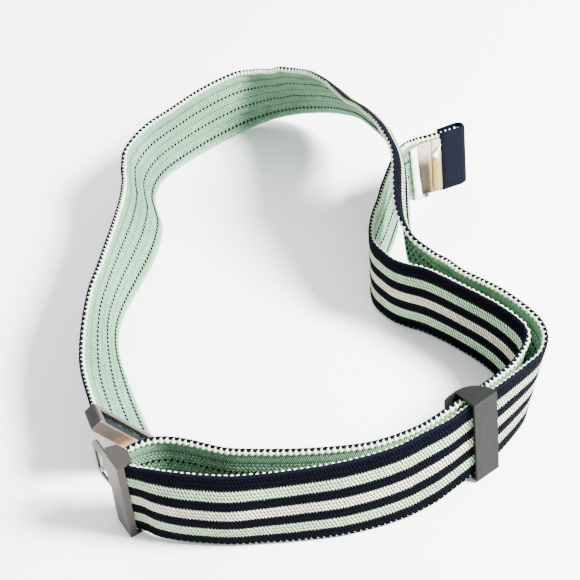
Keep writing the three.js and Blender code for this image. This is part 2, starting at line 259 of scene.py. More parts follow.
# The dashed lines of the plain side: the stripe border that they follow, and half their stitches'
# width and height
DASHES = {
    "dashes_upper": {"stripe": 5, "half_width": 0.00085, "half_height": 0.00052},
    "dashes_middle": {"stripe": 3, "half_width": 0.00085, "half_height": 0.00052},
    "dashes_lower": {"stripe": 1, "half_width": 0.00105, "half_height": 0.00058},
}

# How far from the strap's ends the dashes run, how far their first stitch is moved on, in pitches,
# and how much each stitch climbs. They leave out the fold round the bar: the gap's middle is
# counted from the fold's start.
DASH_START = 0.006
DASH_STOP = 0.034
DASH_PHASE = 0.3
DASH_CLIMB = 0.0003
DASH_GAP_MIDDLE = 0.004
DASH_GAP_HALF = 0.009

# The end cap: the heights of its foot and top, how far back its tape reaches, how far out its
# sides stand at its mouth, the radius of its corners, and its seam's place, pitch and radius
CAP_FOOT = 0.0002
CAP_HEIGHT = 0.041
CAP_REACH = 0.0146
CAP_SIDE = 0.0017
CAP_CORNER = 0.0014
SEAM_BACK = 0.0128
SEAM_PITCH = 0.0021
SEAM_RADIUS = 0.00018

# Each label's lower and upper line: how far back from the tail's end, how far out, and how high,
# in millimetres. The cloth runs along the strap, turns at its fold and comes back over itself.
# flat is its size laid out, in metres, and crumple how far its free half waves, in millimetres.
# Its sewn half lies no further out than LABEL_SEWN.
LABEL_SEWN = 1.9
LABELS = {
    "label_white": {
        "flat": (0.0355, 0.0102), "crumple": 0.22,
        "low": [(27.4, 1.5, 1.2), (30.6, 1.5, 1), (31.9, 2.3, 0.8), (31.2, 3.3, 0.6), (27.6, 3.5, 0.8)],
        "high": [(28.6, 1.5, 36.6), (33.2, 1.5, 35.6), (34.6, 1.8, 35), (33.6, 2.3, 34), (29.6, 2.2, 28.6)],
    },
    "label_beige": {
        "flat": (0.0353, 0.013), "crumple": 0.12,
        "low": [(21.4, 1.45, 2), (26, 1.45, 2), (27, 1.8, 2), (26.2, 2.2, 2), (22.6, 2.2, 2), (21.4, 3, 2)],
        "high": [(20.8, 1.45, 37.6), (27.4, 1.45, 36.8), (28.4, 1.7, 36.6), (27.6, 1.95, 36.6),
                 (21.6, 1.95, 37.2), (20.4, 2.1, 37.2)],
    },
    "label_corner": {
        "flat": (0.0356, 0.0105), "crumple": 0.12,
        "low": [(15, 1.5, 2), (19.6, 1.45, 2), (20.6, 1.75, 2), (19.9, 2.05, 2), (15, 2.15, 2)],
        "high": [(15, 1.5, 37.8), (19.2, 1.45, 37.5), (20, 1.7, 37.4), (19.4, 1.9, 37.4), (15, 2, 37.6)],
    },
}

# The corner of the last label that is turned down: the height of each row, and how far back its
# right and left edges lie, in millimetres
DOG_EAR = (
    (24.8, 17.3, 17.8),
    (27, 16.8, 19.1),
    (29, 16.4, 20.6),
    (31.5, 15.8, 18),
    (34.4, 15, 15.4),
)

# Loose threads at the foot of the beige label, in metres: the stretch back that they cover, their
# foot's height, how far they rise, how far out they stand and how much further their feet do
FRAYS = {
    "count": 7, "seed": 3, "back": (0.0236, 0.0262), "foot": 0.0007, "rise": (0.0028, 0.0052),
    "out": 0.0026, "splay": 0.0009, "radius": 0.00019,
}
FRAY_COLOUR = (46, 52, 48)

# The beige labels' colour between these distances back, in millimetres, with painted shade: screen colours
# at shares of that stretch, darkest where painted shade lies over the middle and at the crease. The painted
# shade fades to the paler plain colour between these heights.
LABEL_SHADE_SPAN = (14.0, 30.0)
LABEL_TONES_AND_SHADE = (
    (0.06, (126, 104, 68)),
    (0.16, (152, 130, 84)),
    (0.33, (128, 104, 58)),
    (0.385, (104, 76, 38)),
    (0.45, (150, 126, 78)),
    (0.54, (50, 43, 30)),
    (0.8, (56, 49, 35)),
)
PALE_HEIGHTS = (21.0, 33.0)

# How much brighter each fitting's rounded edges are painted than its faces: a painted highlight along the
# edges
SLIDER_EDGE_HIGHLIGHT = 4
HOOK_EDGE_HIGHLIGHT = 2.4
LOOP_EDGE_HIGHLIGHT = 1.25

# The tarnish of the loop frame's front, in the loop frame's own axes and in millimetres: how far
# across the front face begins, and the length that the screen colours are placed on, as shares
TARNISH_FRONT = 11.3
TARNISH_LENGTH = 44.0
TARNISH = (
    (0.0, (112, 104, 96)),
    (0.3, (98, 86, 76)),
    (0.42, (118, 84, 58)),
    (0.5, (196, 158, 128)),
    (0.6, (160, 150, 142)),
)

# The camera's height over the floor, its elevation and roll in degrees, and its lens in millimetres
CAMERA_HEIGHT = 0.473
CAMERA_ELEVATION = 41.5
CAMERA_ROLL = 5
CAMERA_LENS = 90

# The two lamps, which face the belt, and the room
KEY_LAMP = {"spot": (0.85, -0.28, 0.9), "size": 0.42, "colour": (1.0, 0.99, 0.97)}
FILL_LAMP = {"spot": (-0.35, 1.1, 0.75), "size": 1.1, "colour": (0.99, 0.99, 1.0)}
LAMP_AIM = (0, 0, 0.02)
ROOM_COLOUR = (1.0, 1.0, 1.03)
FLOOR_HALF = 3.0


def fold_rows():
    """The rows of the fold round the hook plate's bar."""
    first, last = FOLD_HEADINGS
    rows = []
    for i in range(FOLD_ROWS):
        heading = math.radians(first + (last - first) * i / (FOLD_ROWS - 1))
        x = FOLD_CENTRE[0] - FOLD_RADIUS * math.sin(heading)
        y = FOLD_CENTRE[1] + FOLD_RADIUS * math.cos(heading)
        rows.append((x, y, FOLD_LIFT, 0))
    return rows


def whole_route():
    """All rows of the strap's route, with a zero for each column that a row leaves out."""
    rows = LEFT_SIDE + BACK_SIDE + HUMP_OVER_TAIL + RIGHT_BEND + FRONT_OUTER_LAYER
    rows = rows + fold_rows() + FRONT_INNER_LAYER + TAIL
    return np.array([row + (0,) * (6 - len(row)) for row in rows], float)


ROUTE = whole_route()
REACH = np.concatenate([[0], np.cumsum(np.linalg.norm(np.diff(ROUTE[:, :3], axis=0), axis=1))])
ROUTE_LENGTH = float(REACH[-1])
STRAP_END = ROUTE_LENGTH - END_SHORT


def row_slopes():
    """Slope of every column at each row, from the rows on either side of it."""
    before = np.maximum(np.arange(len(ROUTE)) - 1, 0)
    after = np.minimum(np.arange(len(ROUTE)) + 1, len(ROUTE) - 1)
    return (ROUTE[after] - ROUTE[before]) / (REACH[after] - REACH[before])[:, None]


SLOPES = row_slopes()


def smooth_rows(distance):
    """Smooth rows of the route at any distances along it."""
    i = np.clip(np.searchsorted(REACH, distance, side="left") - 1, 0, len(ROUTE) - 2)
    span = (REACH[i + 1] - REACH[i])[..., None]
    t = (distance - REACH[i])[..., None] / span
    stay = (2 * t**3 - 3 * t**2 + 1) * ROUTE[i]
    leave = (t**3 - 2 * t**2 + t) * span * SLOPES[i]
    arrive = (3 * t**2 - 2 * t**3) * ROUTE[i + 1]
    settle = (t**3 - t**2) * span * SLOPES[i + 1]
    return stay + leave + arrive + settle


def lower_edge(distance):
    """Places along the middle of the strap's lower edge, never under the ground."""
    point = smooth_rows(distance)[..., :3].copy()
    point[..., 2] = np.maximum(point[..., 2], 0)
    return point


def unit(vectors):
    """The same headings with a length of 1."""
    return vectors / np.linalg.norm(vectors, axis=-1, keepdims=True)


def strap_axes(distance, share):
    """The way the strap runs, up its width, and out of its striped face, at each place."""
    row = smooth_rows(distance)
    travel = unit(lower_edge(distance + PROBE) - lower_edge(distance - PROBE))
    flat = np.zeros_like(travel[..., 0])
    left = unit(np.stack([-travel[..., 1], travel[..., 0], flat], -1))
    ahead = unit(np.stack([travel[..., 0], travel[..., 1], flat], -1))
    lean, rake, curl = (np.radians(row[..., k])[..., None] for k in (3, 4, 5))
    raised = np.cos(rake) * np.array([0, 0, 1.0]) + np.sin(rake) * ahead
    angle = lean + curl * (share[..., None] - 0.5)
    across = np.cos(angle) * raised + np.sin(angle) * left
    normal = unit(np.cross(across, travel))
    return {
        "travel": travel,
        "across": across,
        "normal": normal,
        "raised": raised,
        "left": left,
        "first": lean - curl / 2,
        "curl": curl,
    }


def on_strap(distance, share, offset, width=STRAP_WIDTH, raised_by=0.0):
    """Points on the strap: how far along, what share of the width up, how far out of the face."""
    distance, share, offset = np.broadcast_arrays(
        np.asarray(distance, float), np.asarray(share, float), np.asarray(offset, float)
    )
    axes = strap_axes(distance, share)
    first, raised, left = axes["first"], axes["raised"], axes["left"]
    half = axes["curl"] * share[..., None] / 2
    arc = share[..., None] * np.sinc(half / math.pi) * width
    point = lower_edge(distance)
    point = point + np.abs(np.sin(first)) * np.array([0, 0, STRAP_THICKNESS / 2])
    point = point + raised_by * (np.cos(first) * raised + np.sin(first) * left)
    point = point + arc * (np.cos(first + half) * raised + np.sin(first + half) * left)
    point = point + offset[..., None] * axes["normal"]
    return point - np.array([*FOOTPRINT_CENTRE, 0])


def stripe_count(share):
    """How many stripes lie below a share of the width."""
    return np.interp(share, STRIPE_BORDERS, range(STRIPES + 1))


def stripe_share(count):
    """The share of the width that has this many stripes below it."""
    return np.interp(count, range(STRIPES + 1), STRIPE_BORDERS)


# Meshes


def new_piece(name, points, faces, material, readings=None):
    """A mesh object that rides on the belt. readings are numbers kept at each point."""
    mesh = bpy.data.meshes.new(name)
    mesh.from_pydata(np.asarray(points).reshape(-1, 3).tolist(), [], faces)
    for label, values in (readings or {}).items():
        layer = mesh.attributes.new(label, "FLOAT", "POINT")
        layer.data.foreach_set("value", np.asarray(values, np.float32).ravel())
    mesh.polygons.foreach_set("use_smooth", [True] * len(mesh.polygons))
    mesh.materials.append(material)
    mesh.validate()
    piece = bpy.data.objects.new(name, mesh)
    bpy.context.scene.collection.objects.link(piece)
    return piece


def face_outwards(piece):
    """Turn all faces of a closed piece outwards."""
    shell = bmesh.new()
    shell.from_mesh(piece.data)
    bmesh.ops.recalc_face_normals(shell, faces=shell.faces)
    shell.to_mesh(piece.data)
    shell.free()


def band_faces(rings, ring):
    """Faces of a closed band: quads between rings, and a ladder of quads over each end."""
    near = (np.arange(rings - 1) * ring)[:, None]
    here = np.arange(ring)[None, :]
    following = (here + 1) % ring
    sides = np.stack([near + here, near + following, near + ring + following, near + ring + here], -1)
    faces = sides.reshape(-1, 4).tolist()
    last = (rings - 1) * ring
    for k in range(ring // 2 - 1):
        ladder = (k, ring - 1 - k, ring - 2 - k, k + 1)
        faces.append(ladder)
        faces.append(tuple(last + i for i in reversed(ladder)))
    return faces


def tube_faces(tubes, rings, sides):
    """Faces of many short tubes, each closed at both ends."""
    first = (np.arange(tubes) * rings * sides)[:, None, None]
    ring = (np.arange(rings - 1) * sides)[None, :, None]
    here = np.arange(sides)[None, None, :]
    following = (here + 1) % sides
    near, far = first + ring, first + ring + sides
    quads = np.stack([near + here, near + following, far + following, far + here], -1)
    faces = quads.reshape(-1, 4).tolist()
    for start in first.ravel():
        end = start + (rings - 1) * sides
        faces.append(tuple(range(start + sides - 1, start - 1, -1)))
        faces.append(tuple(range(end, end + sides)))
    return faces


def tube_points(middle, width_axis, width, height_axis, height, sides):
    """Points of many tubes. Every argument but sides has a row per tube and a column per ring."""
    turn = np.linspace(0, 2 * math.pi, sides, endpoint=False)
    out = middle[..., None, :] + np.zeros((sides, 1))
    out = out + np.cos(turn)[:, None] * (width[..., None] * width_axis)[..., None, :]
    out = out + np.sin(turn)[:, None] * (height[..., None] * height_axis)[..., None, :]
    return out


def add_tubes(name, points, material):
    """One piece of many yarn stitches, with readings along and round each of them."""
    tubes, rings, sides = points.shape[:3]
    along = np.broadcast_to(np.linspace(0, 1, rings)[None, :, None], points.shape[:3])
    around = np.broadcast_to(np.linspace(0, 1, sides, endpoint=False), points.shape[:3])
    readings = {"along": along, "around": around}
    piece = new_piece(name, points, tube_faces(tubes, rings, sides), material, readings)
    face_outwards(piece)
    return piece


# Shader wiring


class Wires:
    """Short ways to place nodes in one node tree and to join them."""

    def __init__(self, tree):
        self.tree = tree
        self.column = 0

    def node(self, kind, **settings):
        """A new node, placed to the right of the last one."""
        made = self.tree.nodes.new(kind)
        made.location = (self.column * 180, 0)
        self.column += 1
        for setting, value in settings.items():
            setattr(made, setting, value)
        return made

    def feed(self, socket, value):
        """Link another node's output to a socket, or set a value on it."""
        if isinstance(value, bpy.types.NodeSocket):
            self.tree.links.new(value, socket)
        else:
            socket.default_value = value

    def calc(self, operation, *values, clamp=False):
        """One sum on numbers or sockets."""
        made = self.node("ShaderNodeMath", operation=operation, use_clamp=clamp)
        for socket, value in zip(made.inputs, values):
            self.feed(socket, value)
        return made.outputs[0]

    def mix(self, factor, first, second):
        """A colour between two others. Numbers are taken as greys."""
        made = self.node("ShaderNodeMix", data_type="RGBA")
        self.feed(made.inputs[0], factor)
        self.feed(made.inputs[6], first)
        self.feed(made.inputs[7], second)
        return made.outputs[2]

    def span(self, value, low, high, to_low=0.0, to_high=1.0, smooth=True):
        """A value moved from one stretch of numbers to another, and held at its ends."""
        kind = "SMOOTHSTEP" if smooth else "LINEAR"
        made = self.node("ShaderNodeMapRange", interpolation_type=kind)
        for socket, number in zip(made.inputs, (value, low, high, to_low, to_high)):
            self.feed(socket, number)
        return made.outputs[0]

    def noise(self, place, scale, detail, roughness=0.5):
        """Soft blotches. scale is how many there are to a metre."""
        made = self.node("ShaderNodeTexNoise")
        self.feed(made.inputs["Vector"], place)
        self.feed(made.inputs["Scale"], scale)
        made.inputs["Detail"].default_value = detail
        made.inputs["Roughness"].default_value = roughness
        return made.outputs[0]

    def reading(self, label):
        """A number that the mesh keeps at each point."""
        return self.node("ShaderNodeAttribute", attribute_name=label).outputs["Fac"]

    def place(self):
        """The place on the object, in metres."""
        return self.node("ShaderNodeTexCoord").outputs["Object"]

    def stretched(self, place, x, y, z):
        """A place scaled each way, so that a pattern runs long one way and fine another."""
        made = self.node("ShaderNodeVectorMath", operation="MULTIPLY")
        self.feed(made.inputs[0], place)
        made.inputs[1].default_value = (x, y, z)
        return made.outputs[0]

    def ramp(self, value, stops):
        """A colour looked up between stops, each with its place and its colour."""
        made = self.node("ShaderNodeValToRGB")
        self.feed(made.inputs[0], value)
        elements = made.color_ramp.elements
        while len(elements) < len(stops):
            elements.new(0.5)
        for element, (place, colour) in zip(elements, stops):
            element.position = place
            element.color = colour
        return made.outputs[0]

    def bump(self, height, distance):
        """A normal tipped by a height. distance is how far a height of 1 rises, in metres."""
        made = self.node("ShaderNodeBump")
        made.inputs["Strength"].default_value = 1.0
        made.inputs["Distance"].default_value = distance
        self.feed(made.inputs["Height"], height)
        return made.outputs[0]

    def scaled(self, colour, share):
        """A colour made darker or lighter by a share."""
        made = self.node("ShaderNodeVectorMath", operation="SCALE")
        self.feed(made.inputs[0], colour if isinstance(colour, bpy.types.NodeSocket) else colour[:3])
        self.feed(made.inputs["Scale"], share)
        return made.outputs[0]

    def swayed(self, value, share):
        """A value between 0 and 1, counted from its middle and made smaller or larger."""
        return self.calc("MULTIPLY", self.calc("SUBTRACT", value, 0.5), share)

    def wave(self, along, pitch):
        """A sine with two waves for each pitch."""
        turn = self.calc("MULTIPLY", self.calc("DIVIDE", along, pitch), 4 * math.pi)
        return self.calc("SINE", turn)

    def placed(self, group, **values):
        """The outputs of a shared group, with its inputs fed."""
        made = self.node("ShaderNodeGroup", node_tree=group)
        for label, value in values.items():
            self.feed(made.inputs[label.replace("_", " ")], value)
        return made.outputs


def new_group(name, inputs, outputs):
    """An empty shader node group. inputs and outputs give each socket's name and kind."""
    group = bpy.data.node_groups.new(name, "ShaderNodeTree")
    kinds = {"number": "NodeSocketFloat", "colour": "NodeSocketColor"}
    for label, kind in inputs.items():
        group.interface.new_socket(name=label, in_out="INPUT", socket_type=kinds[kind])
    for label, kind in outputs.items():
        group.interface.new_socket(name=label, in_out="OUTPUT", socket_type=kinds[kind])
    wires = Wires(group)
    entry = wires.node("NodeGroupInput").outputs
    leaving = wires.node("NodeGroupOutput").inputs
    return group, wires, entry, leaving


def new_material(name, roughness, metallic=0.0, **constants):
    """A material with its shader, and the values that are the same all over it."""
    material = bpy.data.materials.new(name)
    material.use_nodes = True
    shader = material.node_tree.nodes["Principled BSDF"]
    shader.inputs["Roughness"].default_value = roughness
    shader.inputs["Metallic"].default_value = metallic
    for label, value in constants.items():
        shader.inputs[label.replace("_", " ")].default_value = value
    return material, Wires(material.node_tree), shader.inputs


def linear_colour(red, green, blue):
    """A colour given as 0 to 255 screen values, as Blender keeps it."""
    def straight(value):
        value /= 255
        return value / 12.92 if value <= 0.04045 else ((value + 0.055) / 1.055) ** 2.4

    return (straight(red), straight(green), straight(blue))


def brighter(colour, brightness):
    """A colour with its light multiplied."""
    return tuple(channel * brightness for channel in colour)


def opaque(colour, brightness=1.0):
    """A colour with the fourth value that colour sockets take."""
    return (*brighter(colour, brightness), 1)


# Shared effects


def knit_group():
    """Slanted stitches in rows, set like bricks.

    Swing turns every second row's slant about. The smaller Roundness is, the flatter each row.
    """
    inputs = {"Along": "number", "Rows": "number", "Stitch": "number", "Slant": "number",
              "Swing": "number", "Roundness": "number"}
    group, wires, entry, leaving = new_group(
        "Knit stitches", inputs, {"Height": "number", "Gap": "number"}
    )
    within = wires.calc("FRACT", entry["Rows"])
    row = wires.calc("FLOOR", entry["Rows"])
    second = wires.calc("MULTIPLY", wires.calc("FLOORED_MODULO", row, 2.0), entry["Swing"])
    flip = wires.calc("SUBTRACT", 1.0, wires.calc("MULTIPLY", second, 2.0))
    drift = wires.swayed(within, entry["Slant"])
    course = wires.calc("DIVIDE", entry["Along"], entry["Stitch"])
    course = wires.calc("ADD", course, wires.calc("MULTIPLY", row, 0.5))
    turn = wires.calc("ADD", course, wires.calc("MULTIPLY", drift, flip))
    uneven = wires.noise(wires.place(), scale=340.0, detail=2.0)
    turn = wires.calc("ADD", turn, wires.swayed(uneven, 0.9))
    lobe = wires.calc("ABSOLUTE", wires.calc("SINE", wires.calc("MULTIPLY", turn, math.pi)))
    dome = wires.calc("SINE", wires.calc("MULTIPLY", within, math.pi))
    dome = wires.calc("POWER", dome, entry["Roundness"])
    height = wires.calc("MULTIPLY", wires.calc("POWER", lobe, 0.9), dome)
    wires.feed(leaving["Height"], height)
    # Where the stitches part; the knit material darkens the colour there as painted shade
    wires.feed(leaving["Gap"], wires.span(height, 1.0, 0.6))
    return group


def stripe_group():
    """Seven bands of navy, mint and cream yarn with lumpy borders."""
    inputs = {"Across": "number", "Along": "number", "Pitch": "number",
              "Navy": "colour", "Mint": "colour", "Cream": "colour"}
    group, wires, entry, leaving = new_group("Yarn stripes", inputs, {"Colour": "colour"})
    lump = wires.calc("MULTIPLY", wires.wave(entry["Along"], entry["Pitch"]), STRIPE_LUMP)
    across = wires.calc("MAXIMUM", wires.calc("ADD", entry["Across"], lump), 0.01)
    band = wires.calc("FLOOR", wires.calc("MINIMUM", across, STRIPES - 0.01))
    light = wires.calc("FLOORED_MODULO", band, 2.0)
    middle = wires.calc("COMPARE", band, STRIPES // 2, 0.1)
    pale = wires.mix(middle, entry["Mint"], entry["Cream"])
    wires.feed(leaving["Colour"], wires.mix(light, entry["Navy"], pale))
    return group


def fuzz_group():
    """Loose fibres and slow changes of dye over cloth."""
    group, wires, entry, leaving = new_group(
        "Yarn fuzz", {"Fineness": "number", "Depth": "number"},
        {"Shade": "number", "Height": "number"},
    )
    place = wires.place()
    fine = wires.noise(place, scale=entry["Fineness"], detail=4.0, roughness=0.65)
    slow = wires.noise(place, scale=28.0, detail=2.0)
    mixed = wires.calc("ADD", wires.calc("MULTIPLY", fine, 0.6), wires.calc("MULTIPLY", slow, 0.4))
    wires.feed(leaving["Shade"], wires.calc("ADD", 1.0, wires.swayed(mixed, entry["Depth"])))
    wires.feed(leaving["Height"], fine)
    return group


def twist_group():
    """The plies of a twisted yarn, wound round each stitch."""
    group, wires, entry, leaving = new_group(
        "Twisted yarn", {"Along": "number", "Around": "number", "Turns": "number"},
        {"Height": "number"},
    )
    turn = wires.calc("ADD", wires.calc("MULTIPLY", entry["Along"], entry["Turns"]), entry["Around"])
    ply = wires.calc("ABSOLUTE", wires.calc("SINE", wires.calc("MULTIPLY", turn, 2 * math.pi)))
    wires.feed(leaving["Height"], wires.calc("POWER", ply, 0.6))
    return group


def weave_group():
    """A close plain weave, counted in threads each way."""
    group, wires, entry, leaving = new_group(
        "Close weave", {"Along": "number", "Across": "number", "Warp": "number", "Weft": "number"},
        {"Height": "number"},
    )
    over = wires.calc("MULTIPLY", wires.calc("DIVIDE", entry["Along"], entry["Warp"]), math.pi)
    under = wires.calc("MULTIPLY", wires.calc("DIVIDE", entry["Across"], entry["Weft"]), math.pi)
    height = wires.calc("MULTIPLY", wires.calc("ABSOLUTE", wires.calc("SINE", over)),
                        wires.calc("ABSOLUTE", wires.calc("COSINE", under)))
    wires.feed(leaving["Height"], height)
    return group


def metal_group():
    """Brush lines, blotches and pits of handled sheet metal."""
    group, wires, entry, leaving = new_group(
        "Handled metal", {"Brushing": "number", "Blotching": "number", "Pitting": "number"},
        {"Shade": "number", "Roughness": "number", "Height": "number"},
    )
    place = wires.place()
    level, steep = wires.stretched(place, 120, 120, 5200), wires.stretched(place, 900, 700, 130)
    lines = wires.noise(level, scale=1.0, detail=3.0, roughness=0.7)
    scuffs = wires.noise(steep, scale=1.0, detail=2.0, roughness=0.6)
    blotches = wires.noise(place, scale=210.0, detail=4.0, roughness=0.6)
    pits = wires.span(wires.noise(place, scale=2600.0, detail=2.0), 0.36, 0.28)
    brushed = wires.swayed(lines, entry["Brushing"])
    scuffed = wires.swayed(scuffs, wires.calc("MULTIPLY", entry["Brushing"], 0.7))
    blotched = wires.swayed(blotches, entry["Blotching"])
    pitted = wires.calc("MULTIPLY", pits, entry["Pitting"])
    shade = wires.calc("ADD", 1.0, wires.calc("ADD", brushed, wires.calc("ADD", scuffed, blotched)))
    wires.feed(leaving["Shade"], wires.calc("SUBTRACT", shade, pitted))
    rough = wires.calc("ADD", wires.calc("MULTIPLY", brushed, 0.5), wires.calc("MULTIPLY", blotched, 0.6))
    wires.feed(leaving["Roughness"], wires.calc("ADD", rough, pitted))
    height = wires.calc("MULTIPLY", wires.calc("SUBTRACT", brushed, pitted), 2.0)
    wires.feed(leaving["Height"], height)
    return group


def shared(name, maker):
    """A shared node group, made the first time that a material asks for it."""
    return bpy.data.node_groups.get(name) or maker()


# Materials


def knit_material(sizes, colours):
    """The webbing: stripes on one side, and plain ribs with whipped edges on the other."""
    material, wires, shader = new_material("knit_webbing", 0.9, Specular_IOR_Level=0.02)
    along, across, side = wires.reading("along"), wires.reading("across"), wires.reading("side")
    pitch = sizes.picot_pitch / MM
    stripes = wires.placed(
        shared("Yarn stripes", stripe_group), Across=across, Along=along, Pitch=pitch,
        Navy=opaque(colours.navy), Mint=opaque(colours.pale_mint), Cream=opaque(colours.cream),
    )
    striped = wires.calc("GREATER_THAN", side, 0.0)
    rows = wires.calc("MULTIPLY", across, STRIPE_ROWS)
    stitches = shared("Knit stitches", knit_group)
    braid = wires.placed(
        stitches, Along=along, Rows=rows, Stitch=pitch / 1.75, Slant=-0.9, Swing=0.0, Roundness=0.2
    )
    ribs = wires.placed(
        stitches, Along=along, Rows=rows, Stitch=pitch / 1.5, Slant=0.6, Swing=1.0, Roundness=0.45
    )
    whip = wires.placed(
        stitches, Along=along, Rows=across, Stitch=pitch / 3, Slant=2.2, Swing=0.0, Roundness=0.45
    )
    from_middle = wires.calc("ABSOLUTE", wires.calc("SUBTRACT", across, STRIPES / 2))
    rim = wires.calc("GREATER_THAN", from_middle, STRIPES / 2 - 1)
    plain = {label: wires.mix(rim, ribs[label], whip[label]) for label in ("Height", "Gap")}
    fuzz = wires.placed(shared("Yarn fuzz", fuzz_group), Fineness=420.0, Depth=2.0)

    # Faint broken lines where the navy yarn shows between the ribs of the plain side
    even = wires.calc("FLOORED_MODULO", wires.calc("ADD", across, 1.0), 2.0)
    even = wires.calc("ABSOLUTE", wires.calc("SUBTRACT", even, 1.0))
    line = wires.span(even, 0.16, 0.03)
    dots = wires.span(wires.wave(along, pitch), -1.0, 0.3)
    faint = wires.calc("MULTIPLY", wires.calc("MULTIPLY", line, dots), 0.8)
    plain_colour = wires.mix(faint, opaque(colours.mint, 0.98), opaque(colours.mint, 0.3))
    colour = wires.mix(striped, plain_colour, stripes["Colour"])

    # Painted shade in the gaps between the stitches, deeper on the striped side
    gap = wires.mix(striped, plain["Gap"], braid["Gap"])
    height = wires.mix(striped, plain["Height"], braid["Height"])
    depth = wires.calc("MULTIPLY", gap, wires.calc("ADD", 0.5, wires.calc("MULTIPLY", striped, 0.36)))
    shade = wires.calc("MULTIPLY", fuzz["Shade"], wires.calc("SUBTRACT", 1.0, depth))
    wires.feed(shader["Base Color"], wires.scaled(colour, shade))
    relief = wires.calc("ADD", height, wires.calc("MULTIPLY", fuzz["Height"], 0.5))
    wires.feed(shader["Normal"], wires.bump(relief, distance=0.00045))
    return material


def yarn_material(name, colour, turns, depth):
    """Twisted yarn. turns is how often it winds over one stitch or cord, and depth its mottling."""
    material, wires, shader = new_material(name, 0.85, Specular_IOR_Level=0.02)
    twist = wires.placed(
        shared("Twisted yarn", twist_group), Along=wires.reading("along"),
        Around=wires.reading("around"), Turns=turns,
    )
    fuzz = wires.placed(shared("Yarn fuzz", fuzz_group), Fineness=2600.0, Depth=depth)
    # Painted shade in the grooves between the plies, on top of the mottled dye
    shade = wires.calc("MULTIPLY", fuzz["Shade"], wires.span(twist["Height"], 0.0, 0.6, 0.72, 1.0))
    toned = wires.mix(shade, (0, 0, 0, 1), opaque(colour))
    wires.feed(shader["Base Color"], toned)
    relief = wires.calc("ADD", twist["Height"], wires.calc("MULTIPLY", fuzz["Height"], 0.6))
    wires.feed(shader["Normal"], wires.bump(relief, distance=0.0001))
    return material


def tape_material(name, colour, warp, weft, roughness, depth, bump, **constants):
    """Woven tape. warp and weft are the widths of its threads, in millimetres."""
    material, wires, shader = new_material(name, roughness, **constants)
    weave = wires.placed(
        shared("Close weave", weave_group), Along=wires.reading("along"),
        Across=wires.reading("across"), Warp=warp, Weft=weft,
    )
    fuzz = wires.placed(shared("Yarn fuzz", fuzz_group), Fineness=1500.0, Depth=depth)
    # Painted shade between the woven threads, on top of the mottled dye
    shade = wires.calc("MULTIPLY", fuzz["Shade"], wires.span(weave["Height"], 0.0, 0.8, 0.8, 1.0))
    toned = wires.mix(shade, (0, 0, 0, 1), opaque(colour))
    wires.feed(shader["Base Color"], toned)
    relief = wires.calc("ADD", weave["Height"], wires.calc("MULTIPLY", fuzz["Height"], 0.4))
    wires.feed(shader["Normal"], wires.bump(relief, distance=bump))
    return material


def satin_material(name, colour, tints=None):
    """Thin crumpled label satin. tints, if given, works out a colour over the plain one."""
    material, wires, shader = new_material(name, 0.6, Specular_IOR_Level=0.2)
    weave = wires.placed(
        shared("Close weave", weave_group), Along=wires.reading("along"),
        Across=wires.reading("across"), Warp=0.16, Weft=0.3,
    )
    fuzz = wires.placed(shared("Yarn fuzz", fuzz_group), Fineness=900.0, Depth=0.22)
    base = tints(wires, opaque(colour)) if tints else opaque(colour)
    wires.feed(shader["Base Color"], wires.scaled(base, fuzz["Shade"]))
    creases = wires.noise(wires.place(), scale=330.0, detail=2.0, roughness=0.4)
    relief = wires.calc("ADD", wires.calc("MULTIPLY", weave["Height"], 0.06), creases)
    wires.feed(shader["Normal"], wires.bump(relief, distance=0.0015))
    return material


def screen_stops(stops):
    """Stops of a colour ramp, from places and screen colours."""
    return [(place, opaque(linear_colour(*colour))) for place, colour in stops]


def label_tones_and_shade(wires, plain):
    """The beige labels' colour with painted shade, darker at the crease and over the middle, and nearly the
    plain colour at the top.
    """
    back, height = wires.reading("along"), wires.reading("across")
    tint = wires.ramp(wires.span(back, *LABEL_SHADE_SPAN, smooth=False), screen_stops(LABEL_TONES_AND_SHADE))
    pale = wires.mix(0.85, tint, plain)
    return wires.mix(wires.span(height, *PALE_HEIGHTS), tint, pale)


def metal_material(name, colour, roughness, brushing, blotching, pitting, metallic=0.75, specular=0.5,
                   tarnish=None):
    """Handled sheet metal. tarnish, if given, works out a colour over the plain one."""
    material, wires, shader = new_material(name, roughness, metallic, Specular_IOR_Level=specular)
    worn = wires.placed(
        shared("Handled metal", metal_group), Brushing=brushing, Blotching=blotching, Pitting=pitting
    )
    base = tarnish(wires, opaque(colour)) if tarnish else opaque(colour)
    wires.feed(shader["Base Color"], wires.scaled(base, worn["Shade"]))
    wires.feed(shader["Roughness"], wires.calc("ADD", roughness, worn["Roughness"], clamp=True))
    wires.feed(shader["Normal"], wires.bump(worn["Height"], distance=0.00008))
    return material


# The strap


def rib_offset(share, crest, groove, edge):
    """Half the strap's thickness at a share of its width: a dome for each stripe."""
    within = np.mod(stripe_count(np.clip(share, 0.0001, 0.9999)), 1)
    dome = np.sqrt(np.clip(1 - (2 * within - 1) ** 2, 0, 1))
    rim = np.clip(np.minimum(share, 1 - share) * STRAP_WIDTH / edge, 0, 1)
    return (groove + (crest - groove) * dome) * np.sqrt(1 - (1 - rim) ** 2)


